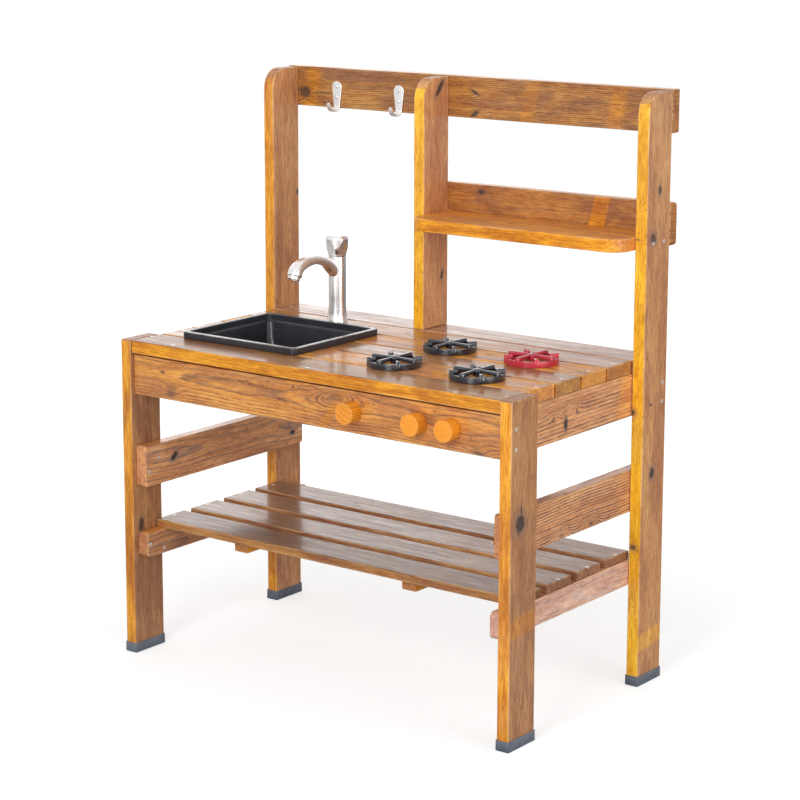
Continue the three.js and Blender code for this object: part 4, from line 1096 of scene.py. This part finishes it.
class MUDKITCHEN_OT_tap(bpy.types.Operator):
    """Builds the tap: column and arched spout, aerator, lock nut and the scalloped handle"""
    bl_idname = "mudkitchen.tap"
    bl_label = "Tap"

    def execute(self, context):
        colour = context.scene.kitchen_fittings.tap
        low, high = box_of("tap_handle")
        x, y = (low[0] + high[0]) / 2, (low[1] + high[1]) / 2
        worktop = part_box("worktop_board_5")[1].z
        base, handle_height = (x, y, worktop), 152 * MM
        brushed = metal("tap_brushed", colour, (30, 30, 2600), 0.17, 0.14, base)
        arm, end, heading = tap_arm()
        add_piece("tap_body_casting", moved(joined(tap_column(), arm), placed(*base)), brushed,
                  "frame", ["tap_body"])
        satin = metal("aerator_satin", (0.75, 0.73, 0.71), (60, 60, 60), 0.25, 0.1, base)
        turn = Matrix.Rotation(math.pi - math.atan2(heading[0], -heading[1]), 4, "X")
        seat = placed(x, y - end[0], worktop + end[1], turn)
        add_piece("tap_aerator_ring", moved(aerator_shape(), seat), satin, "frame",
                  ["tap_aerator"])
        zinc = metal("nut_zinc", (0.62, 0.63, 0.65), (90, 90, 90), 0.35, 0.12)
        low, high = box_of("tap_lock_nut")
        middle = (low + high) / 2
        add_piece("tap_lock_nut_hexagon", moved(nut_shape(), placed(middle[0], middle[1], low[2])), zinc,
                  "frame", ["tap_lock_nut"])
        brushed = metal("handle_brushed", colour, (30, 30, 2600), 0.16, 0.13, base)
        add_piece("tap_handle_casting", moved(handle_shape(), placed(x, y, worktop + handle_height)), brushed,
                  "handle", ["tap_handle"])
        return {"FINISHED"}


def tapered_bar(half_wide, low_z, high_z, reach, ease):
    """A bar along +X between two sections, each a rounded trapezium narrower at its top."""
    rows = np.linspace(0, 1, 9)
    share = np.concatenate([rows, [1.0]])
    shrink = np.concatenate([np.ones(len(rows)), [0.86]])
    wide = np.interp(share, [0, 1], half_wide) * shrink
    low, high = np.interp(share, [0, 1], low_z), np.interp(share, [0, 1], high_z) - (1 - shrink) * 3 * MM
    x = np.interp(share, [0, 1], [0, reach]) - np.concatenate([np.zeros(len(rows) - 1), [ease, 0]])
    middle, half = (low + high) / 2, (high - low) / 2
    angle = round_angles(24)
    side, rise = signed_power(np.cos(angle), 0.45), signed_power(np.sin(angle), 0.45)
    narrow = 1 - 0.12 * (rise + 1)
    return skin(np.stack([x[:, None] + 0 * angle, wide[:, None] * side * narrow,
                          middle[:, None] + half[:, None] * rise], axis=-1))


def pan_screw(shank_radius, depth, head_radius, head_height):
    """A pan-head screw that points down from its seat: a turned shank and a domed head with a cross
    recess, made by lowering the head's top inside two crossed slots."""
    dome = np.linspace(0, 1, 12)
    radius = head_radius * np.sqrt(1 - dome ** 2.2)
    body = [[0.05 * MM, -depth], [shank_radius, -depth + shank_radius], [shank_radius, 0], [head_radius, 0],
            [head_radius, head_height * 0.3]]
    top = np.stack([radius[1:-1], head_height * (0.3 + 0.7 * dome[1:-1])], axis=1)
    inner = np.stack([np.linspace(radius[-2], 0.05 * MM, 10)[1:], np.full(9, head_height)], axis=1)
    rings = turned_rings(np.concatenate([body, top, inner]), 40)
    x, y = rings[..., 0], rings[..., 1]
    arm, half = head_radius * 0.62, head_radius * 0.14
    slot = np.maximum((np.abs(x) < arm) & (np.abs(y) < half), (np.abs(y) < arm) & (np.abs(x) < half))
    rings[..., 2] -= slot * (rings[..., 2] > head_height * 0.5) * head_height * 0.45
    return skin(rings)


def disc(radius, low, high, cuts, sides):
    """A turned disc in millimetres, with its two rims eased."""
    core = 0.3
    corners = [[core, low], [radius, low], [radius, high], [core, high]]
    return turned(soft_profile(corners, cuts, 4) * MM, sides)


def hob_shape():
    """A hob: its round wall and hub, four straight ribs, and four lugs between them that end in posts.
    Returns the shape and a mask that paints a highlight along the tops of the ribs."""
    wall = soft_profile([[50, 6], [50, 0], [56, 0], [56, 12.5], [50, 12.5], [50, 6]], [0.5, 0.6, 1.0, 1.0], 4)
    ring = turned_rings(wall * MM, 128).reshape(-1, 3), [ring_faces(len(wall), 128)]
    rib = tapered_bar(np.array([2.5, 6.5]) * MM, np.array([14, 10]) * MM, np.array([19, 19]) * MM,
                      54 * MM, 0.8 * MM)
    lug = tapered_bar(np.array([5.2, 6.4]) * MM, np.array([1, 1]) * MM, np.array([17.6, 19]) * MM,
                      18 * MM, 0.8 * MM)
    post = disc(6.5, 0, 12.3, [0.6, 1.4], 40)
    lug_start, post_place = 38.5 * MM, 50.3 * MM
    pieces = [ring, disc(9, 6, 18, [0.5, 1.2], 48)]
    for number in range(4):
        straight = Matrix.Rotation(number * QUARTER, 4, "Z")
        between = Matrix.Rotation((number + 0.5) * QUARTER, 4, "Z")
        pieces += [moved(rib, straight), moved(lug, between @ placed(lug_start, 0, 0)),
                   moved(post, between @ placed(post_place, 0, 0))]
    points, faces = joined(*pieces)
    beside = np.minimum(np.abs(points[:, 0]), np.abs(points[:, 1]))
    return (points, faces), (points[:, 2] > 18.4 * MM) * np.exp(-(beside / (1.5 * MM)) ** 2)


class MUDKITCHEN_OT_hobs(bpy.types.Operator):
    """Builds the four hob rings with their ribs, lugs, hubs and screws"""
    bl_idname = "mudkitchen.hobs"
    bl_label = "Hobs"

    def execute(self, context):
        settings = context.scene.kitchen_fittings
        # The pale colours given to the two plastics are painted highlights along the ribs' tops
        black = plastic("hob_charcoal", settings.hob, 0.04, 0.16, 0.45, (0.6, 0.63, 0.7), 0.9)
        red = plastic("hob_crimson", settings.hot_hob, 0.04, 0.24, 0.3, (0.9, 0.35, 0.36), 0.6)
        zinc = metal("hob_screw_zinc", (0.66, 0.67, 0.69), (120, 120, 120), 0.28, 0.12)
        shape, rib_top_highlight = hob_shape()
        head_height = 2.4 * MM
        for place in ("front_left", "rear_left", "front_right", "rear_right"):
            low, high = box_of(f"hob_{place}")
            centre = (low + high) / 2
            hot = place == "rear_right"
            add_piece(f"hob_{place}_moulding", moved(shape, placed(centre[0], centre[1], low[2])),
                      red if hot else black, "frame", [f"hob_{place}"],
                      edge=rib_top_highlight * 0.8)
            low, high = box_of(f"hob_screw_{place}")
            screw = pan_screw(2 * MM, high[2] - low[2] - head_height, 4 * MM, head_height)
            seat = placed(centre[0], centre[1], high[2] - head_height)
            add_piece(f"hob_screw_{place}_turned", moved(screw, seat), zinc, "frame",
                      [f"hob_screw_{place}"])
        return {"FINISHED"}


def knob_pine(name, centre, colour, shift, width, contrast, lean):
    """The turned knob's pine: rings cross its face as arcs, and its side shows them end to end."""
    material, tree, shader = new_material(name)
    ahead, across = Vector((0, -1, 0)), Vector((math.cos(lean), 0, math.sin(lean)))
    vector = tree.around(centre, Matrix((ahead, across, ahead.cross(across))))
    rings = tree.group("Pine rings", {
        "Vector": vector, "Shift": shift, "Pith across": 0.075, "Pith depth": 0.01, "Lean": 0.0,
        "Ring width": width, "Sway": 0.004})
    made = tree.group("Stained wood", {
        "Late": rings["Late"], "Fibre": tree.line(rings["Fibre"], 0.5, 0.25), "Streak": 0.56, "Blotch": 0.5,
        "Edge": tree.edge_mask(), "Rub": 0.25, "Contrast": contrast, "Early colour": (*colour, 1),
        "Late colour": (*shaded(colour, 0.42), 1), "Gold colour": (*colour, 1),
        "Worn colour": (0.9, 0.62, 0.34, 1)})
    dress(tree, shader, made, 0.2, 0.0003)
    set_plain(shader, {"Coat Weight": 0.35, "Coat Roughness": 0.25})
    return material


class MUDKITCHEN_OT_knobs(bpy.types.Operator):
    """Builds the three turning knobs and the screws that they turn on"""
    bl_idname = "mudkitchen.knobs"
    bl_label = "Knobs"

    def execute(self, context):
        colour = context.scene.kitchen_fittings.knob
        zinc = metal("knob_screw_zinc", (0.6, 0.61, 0.63), (120, 120, 120), 0.3, 0.12)
        radius, core, sides, head_height = 22 * MM, 0.4 * MM, 96, 3 * MM
        # Where the rings start, how wide they are, how dark, and how far the grain leans from level
        looks = {"left": (3.0, 0.0052, 1.0, 0.95), "middle": (9.0, 0.0034, 0.12, 0.3),
                 "right": (17.0, 0.0031, 0.12, -0.2)}
        for side, (shift, width, contrast, lean) in looks.items():
            low, high = box_of(f"knob_{side}")
            centre = (low + high) / 2
            length = high[1] - low[1]
            profile = soft_profile([[core, 0], [radius, 0], [radius, length], [core, length]],
                                   np.array([1.0, 1.4]) * MM, 5)
            rim = np.hypot(profile[:, 0] - radius, profile[:, 1] - length)
            edge = np.repeat(np.exp(-rim / (0.9 * MM)), sides)
            material = knob_pine(f"knob_pine_{side}", centre, colour, shift, width, contrast, lean)
            shape = moved(turned(profile, sides), placed(centre[0], high[1], centre[2], TO_FRONT))
            add_piece(f"knob_{side}_turned", shape, material, f"{side}_knob",
                      [f"knob_{side}"], flat_sets=(1,), edge=edge)
            low, high = box_of(f"knob_screw_{side}")
            screw = pan_screw(2.5 * MM, high[1] - low[1] - head_height, 5.5 * MM, head_height)
            seat = placed(centre[0], high[1] - head_height, centre[2], TO_BACK)
            add_piece(f"knob_screw_{side}_turned", moved(screw, seat), zinc, f"{side}_knob",
                      [f"knob_screw_{side}"])
        return {"FINISHED"}


def hook_shape():
    """A strap bent forward and up. Its middle line runs down the plate and round the bend; its half width
    is a half circle at the head, then falls evenly to the neck and the tip; its section is a flat oval."""
    head_radius, tip_radius, half_thick = 14, 5, 1.1
    plate = np.stack([np.full(8, -half_thick), np.linspace(0, -51.8, 8)], axis=1)
    bend = np.array([[-1.3, -56], [-3.5, -61.5], [-8.5, -66], [-16, -66.9], [-23, -64.2], [-28.5, -58],
                     [-31.5, -51.5], [-32.7, -46.6]])
    spine, heading, _ = spline(np.concatenate([plate, bend]), 90)
    gone = travelled(spine)
    total = gone[-1]
    head = np.sqrt(np.clip(head_radius ** 2 - (head_radius - np.minimum(gone, head_radius)) ** 2, 0.01, None))
    taper = np.interp(gone, [head_radius, 54, 70, total], [head_radius, 9, 8, tip_radius])
    end = np.sqrt(np.clip(1 - ((gone - total + tip_radius) / tip_radius).clip(0, 1) ** 2, 0.02, None))
    wide = np.where(gone < head_radius, head, taper) * end
    angle = round_angles(40)
    side, rise = signed_power(np.cos(angle), 0.3), signed_power(np.sin(angle), 0.5)
    up = np.stack([heading[:, 1], -heading[:, 0]], axis=1)
    flat = spine[:, None] + up[:, None] * (half_thick * rise)[None, :, None]
    rings = np.stack([wide[:, None] * side, flat[..., 0], flat[..., 1]], axis=-1)
    return skin(rings * MM)


class MUDKITCHEN_OT_hooks(bpy.types.Operator):
    """Builds the two coat hooks and their screws"""
    bl_idname = "mudkitchen.hooks"
    bl_label = "Coat hooks"

    def execute(self, context):
        satin = metal("hook_satin", (0.98, 0.96, 0.95), (260, 260, 30), 0.26, 0.16)
        zinc = metal("hook_screw_zinc", (0.72, 0.73, 0.75), (150, 150, 150), 0.22, 0.1)
        shape, head_height = hook_shape(), 2 * MM
        for side in ("left", "right"):
            low, high = box_of(f"hook_{side}")
            centre = (low + high) / 2
            add_piece(f"hook_{side}_strap", moved(shape, placed(centre[0], high[1], high[2])), satin,
                      "frame", [f"hook_{side}"])
            for level in ("upper", "lower"):
                node = f"hook_screw_{side}_{level}"
                low, high = box_of(node)
                screw = pan_screw(2 * MM, high[1] - low[1] - head_height, 4.4 * MM, head_height)
                middle = (low + high) / 2
                seat = placed(middle[0], low[1] + head_height, middle[2], TO_FRONT)
                add_piece(f"{node}_turned", moved(screw, seat), zinc, "frame", [node])
        return {"FINISHED"}


# Wood screws, small fasteners that the frame leaves out

# Where each head lies, in millimetres, with a depth as on the source's drawing: across and depth on top and
# on the slats, depth and height at the sides, across and height at the back
TOP_SCREWS = [(-474, -222), (-375, -263), (-3, -270), (368, -273), (467, -242), (-466, -130), (466, -140),
              (-463, -46), (463, -46), (-463.5, 49.5), (463.5, 49.5), (-465.7, 140.5), (465.7, 140.5),
              (-465, 235.7), (465, 235.7)]
SIDE_SCREWS = [(-267.5, 642.6), (-267.5, 602.3), (269.5, 642.6), (269.1, 602.4), (220, 938.8), (262, 939.2),
               (-262, 246), (-219, 229), (262, 246), (219, 229), (-231, 434), (-262, 408), (249, 408)]
SLAT_SCREWS = [(469.8, 157.3), (-460.8, 162.1), (470, 48.9), (470.2, -59.4), (-469.3, 57.8), (-466, -60),
               (468, -172), (-464, -171)]
BACK_SCREWS = [(-493, 1222), (-493, 1183), (493, 1222), (493, 1183), (-69, 1222), (-69, 1183),
               (493, 988), (493, 950), (-69, 988), (-69, 950)]
# So many of the side screws lie on the outer faces, and the others on the inner ones
OUTER_SCREWS = 6


def screw_head(radius):
    """A countersunk head seen from outside, as a polar surface: flat to its rim, with a lobed recess whose
    radius is a share of the head's and swells and falls round it."""
    lobes, angle = 6, round_angles(36)
    recess = radius * (0.36 + 0.07 * np.cos(lobes * angle))
    # Each row's share of the head's radius, its share of the recess, and its height in millimetres
    rows = [(0.04, 0, -1.2), (0, 0.85, -1.1), (0, 1.0, -0.1), (0.52, 0, 0.0), (0.9, 0, 0.0), (1.0, 0, -0.15),
            (0.98, 0, -0.9), (0.04, 0, -1.6)]
    rings = np.stack([np.stack([(share * radius + star * recess) * np.cos(angle),
                                (share * radius + star * recess) * np.sin(angle),
                                0 * angle + depth * MM], axis=1) for share, star, depth in rows])
    return skin(rings)


def scattered(shape, places, turn):
    """Copies of a shape in one mesh: each is turned as the face that it lies in and carried to its place."""
    points, faces = moved(shape, turn)
    places = np.asarray(places, float) * MM
    count = len(points)
    many = (points[None] + places[:, None]).reshape(-1, 3)
    step = (np.arange(len(places)) * count)[:, None, None]
    return many, [(face[None] + step).reshape(-1, face.shape[1]) for face in faces]


class MUDKITCHEN_OT_wood_screws(bpy.types.Operator):
    """Builds the heads of the countersunk screws that hold the timber together"""
    bl_idname = "mudkitchen.wood_screws"
    bl_label = "Wood screws"

    def execute(self, context):
        head = screw_head(context.scene.kitchen_fittings.screw_head / 2)
        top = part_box("worktop_board_1")[1].z / MM
        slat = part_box("shelf_slat_1")[1].z / MM
        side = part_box("leg_front_right")[1].x / MM
        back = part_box("top_rail")[1].y / MM
        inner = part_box("middle_rail_right")[0].x / MM
        outside, inside = SIDE_SCREWS[:OUTER_SCREWS], SIDE_SCREWS[OUTER_SCREWS:]
        sets = [
            scattered(head, [(x, world_y(y), top) for x, y in TOP_SCREWS], Matrix()),
            scattered(head, [(x, world_y(y), slat) for x, y in SLAT_SCREWS], Matrix()),
            scattered(head, [(side, world_y(y), z) for y, z in outside], TO_RIGHT),
            scattered(head, [(-side, world_y(y), z) for y, z in outside], TO_LEFT),
            scattered(head, [(x, back, z) for x, z in BACK_SCREWS], TO_BACK),
            scattered(head, [(inner, world_y(y), z) for y, z in inside], TO_LEFT),
            scattered(head, [(-inner, world_y(y), z) for y, z in inside], TO_RIGHT),
        ]
        zinc = metal("wood_screw_zinc", (0.95, 0.95, 0.95), (140, 140, 140), 0.4, 0.15)
        add_piece("wood_screw_heads", joined(*sets), zinc, "frame")
        return {"FINISHED"}


# Stage

AIM = (0, 0, 0.6)
FLOOR_RADIUS, FLOOR_SIDES = 9, 96
CAMERA_PLACE, CAMERA_TURN = (2.9316, -3.8483, 1.6687), (79.3, -0.14, 37.09)
LENS, SENSOR_WIDTH, CAMERA_SHIFT = 105.2, 36, -0.1


def level_way(tree, way):
    """A way without its height, at a length of 1."""
    return tree.vector("NORMALIZE", tree.vector("MULTIPLY", way, (1, 1, 0)))


def softboxes(tree, way):
    """Two tall bright panels in front, one left and one right of the camera, by the way a ray looks."""
    flat = level_way(tree, way)
    wide = tree.smooth(tree.vector("DOT_PRODUCT", flat, (0.208, -0.978, 0)), 0.978, 0.9945)
    slim = tree.smooth(tree.vector("DOT_PRODUCT", flat, (0.682, -0.731, 0)), 0.99, 0.9976)
    return tree.plus(wide, slim)


def ray_masks(tree):
    """Two masks: rays straight from the camera, and rays that a piece mirrors or lets through."""
    path = tree.node("ShaderNodeLightPath").outputs
    return path["Is Camera Ray"], tree.most(path["Is Glossy Ray"], path["Is Transmission Ray"])


def add_floor(scene, colour):
    """A round floor of pale paper, which glows more away from its middle. A mirroring piece sees it bright
    at the front left, dimmer at the front right and dimmest at the back, with the panels on it."""
    angle = round_angles(FLOOR_SIDES)
    rim = np.stack([np.cos(angle) * FLOOR_RADIUS, np.sin(angle) * FLOOR_RADIUS, 0 * angle], axis=1)
    mesh = bpy.data.meshes.new("floor")
    mesh.from_pydata(rim.tolist(), [], [list(range(FLOOR_SIDES))])
    floor = bpy.data.objects.new("floor", mesh)
    scene.collection.objects.link(floor)
    material, tree, shader = new_material("floor_paper")
    camera_ray, mirror_ray = ray_masks(tree)
    place = tree.place()
    speck = tree.smooth(tree.noise(place, 420, 2), 0.2, 0.8, 0.97, 1.03)
    back = tree.smooth(tree.vector("DOT_PRODUCT", place, (0.39, 0.91, 0)), -0.6, 1.4, 1.3, 0.45)
    front_right = tree.smooth(tree.vector("DOT_PRODUCT", level_way(tree, place), (0.77, -0.64, 0)),
                              0.7, 0.95, 1.0, 0.6)
    seen = tree.line(mirror_ray, tree.less(tree.times(back, front_right), 1.0), 1.0)
    tree.put(shader.inputs["Base Color"], tree.scale((*colour,), tree.times(seen, speck)))
    set_plain(shader, {"Roughness": 0.9, "Specular IOR Level": 0.1, "Emission Color": (1, 1, 1, 1)})
    glow = tree.smooth(tree.vector("LENGTH", place), 0.6, 1.8, 0.6, 0.78)
    tree.put(shader.inputs["Emission Strength"],
             tree.line(mirror_ray, softboxes(tree, place), tree.times(camera_ray, glow)))
    mesh.materials.append(material)


def add_world(scene, ambient):
    """The light from all round, which is weaker from above. The camera sees plain white. A mirroring piece
    sees a studio: dimmer at the front left and the back right, brighter at the back left, with the two
    panels in front."""
    world = bpy.data.worlds.new("studio")
    world.use_nodes = True
    world.node_tree.nodes.clear()
    scene.world = world
    tree = Tree(world.node_tree)
    camera_ray, mirror_ray = ray_masks(tree)
    way = tree.node("ShaderNodeTexCoord").outputs["Generated"]
    front_left = tree.vector("DOT_PRODUCT", way, (-0.6, -0.8, 0.0))
    back_left = tree.vector("DOT_PRODUCT", way, (-0.75, 0.62, 0.18))
    back_right = tree.vector("DOT_PRODUCT", way, (0.6, 0.8, 0.0))
    height = tree.apart(way)[2]
    studio = tree.times(tree.smooth(front_left, 0.2, 0.9, 1.0, 0.9),
                        tree.smooth(back_right, 0.3, 0.9, 1.0, 0.55),
                        tree.smooth(back_left, 0.925, 0.985, 1.0, 2.4))
    panels = tree.times(softboxes(tree, way), tree.smooth(height, 0.3, 0.5, 1.0, 0.0))
    room = tree.times(tree.smooth(height, 0.0, 0.9, 1.15, 0.6), ambient)
    level = tree.line(mirror_ray, tree.less(tree.plus(studio, panels), room), room)
    background = tree.node("ShaderNodeBackground", {"Color": (1, 1, 1, 1),
                                                    "Strength": tree.most(level, camera_ray)})
    tree.put(tree.node("ShaderNodeOutputWorld").inputs["Surface"], background.outputs[0])


def add_lamp(scene, name, place, size, power):
    """A large soft lamp that faces the aim, with its width and its height."""
    data = bpy.data.lights.new(name, "AREA")
    data.shape, data.energy = "RECTANGLE", power
    data.size, data.size_y = size
    lamp = bpy.data.objects.new(name, data)
    lamp.location = place
    lamp.rotation_euler = (Vector(AIM) - Vector(place)).to_track_quat("-Z", "Y").to_euler()
    scene.collection.objects.link(lamp)


def add_camera(scene):
    """The camera, in front of the piece and to its right."""
    data = bpy.data.cameras.new("camera")
    data.lens, data.sensor_width, data.shift_y = LENS, SENSOR_WIDTH, CAMERA_SHIFT
    camera = bpy.data.objects.new("camera", data)
    camera.location = CAMERA_PLACE
    camera.rotation_euler = [math.radians(turn) for turn in CAMERA_TURN]
    scene.collection.objects.link(camera)
    scene.camera = camera


class MUDKITCHEN_OT_stage(bpy.types.Operator):
    """Builds the floor, the lamps, the room light and the camera"""
    bl_idname = "mudkitchen.stage"
    bl_label = "Stage"

    def execute(self, context):
        scene = context.scene
        settings = scene.kitchen_stage
        add_floor(scene, settings.floor)
        add_world(scene, settings.ambient)
        add_lamp(scene, "front_lamp", (0.9, -4.2, 2.2), (1.5, 2.6), settings.key)
        add_lamp(scene, "side_lamp", (4.2, -0.4, 1.0), (2.2, 1.6), settings.fill)
        add_camera(scene)
        scene.view_settings.view_transform = "Standard"
        return {"FINISHED"}


BUILDERS = (
    MUDKITCHEN_OT_uprights, MUDKITCHEN_OT_worktop, MUDKITCHEN_OT_rails, MUDKITCHEN_OT_back,
    MUDKITCHEN_OT_foot_caps, MUDKITCHEN_OT_basin, MUDKITCHEN_OT_tap, MUDKITCHEN_OT_hobs,
    MUDKITCHEN_OT_knobs, MUDKITCHEN_OT_hooks, MUDKITCHEN_OT_wood_screws, MUDKITCHEN_OT_stage,
)


class MUDKITCHEN_PT_pieces(bpy.types.Panel):
    """The builders and their settings, in the 3D view's sidebar"""
    bl_idname = "MUDKITCHEN_PT_pieces"
    bl_label = "Mud kitchen"
    bl_space_type = "VIEW_3D"
    bl_region_type = "UI"
    bl_category = "Mud kitchen"

    def draw(self, context):
        for builder in BUILDERS:
            self.layout.operator(builder.bl_idname)
        for group in (context.scene.kitchen_wood, context.scene.kitchen_fittings,
                      context.scene.kitchen_stage):
            box = self.layout.box()
            for name in group.bl_rna.properties.keys():
                if name not in ("rna_type", "name"):
                    box.prop(group, name)


CLASSES = (WoodSettings, FittingSettings, StageSettings, *BUILDERS, MUDKITCHEN_PT_pieces)


def register():
    """Registers the settings, the builders and the panel."""
    for made in CLASSES:
        bpy.utils.register_class(made)
    bpy.types.Scene.kitchen_wood = PointerProperty(type=WoodSettings)
    bpy.types.Scene.kitchen_fittings = PointerProperty(type=FittingSettings)
    bpy.types.Scene.kitchen_stage = PointerProperty(type=StageSettings)


def unregister():
    """Takes them away again."""
    del bpy.types.Scene.kitchen_stage, bpy.types.Scene.kitchen_fittings, bpy.types.Scene.kitchen_wood
    for made in reversed(CLASSES):
        bpy.utils.unregister_class(made)


def main():
    """Builds the whole kitchen."""
    register()
    build_groups()
    for builder in BUILDERS:
        group, name = builder.bl_idname.split(".")
        getattr(getattr(bpy.ops, group), name)()


if __name__ == "__main__":
    main()
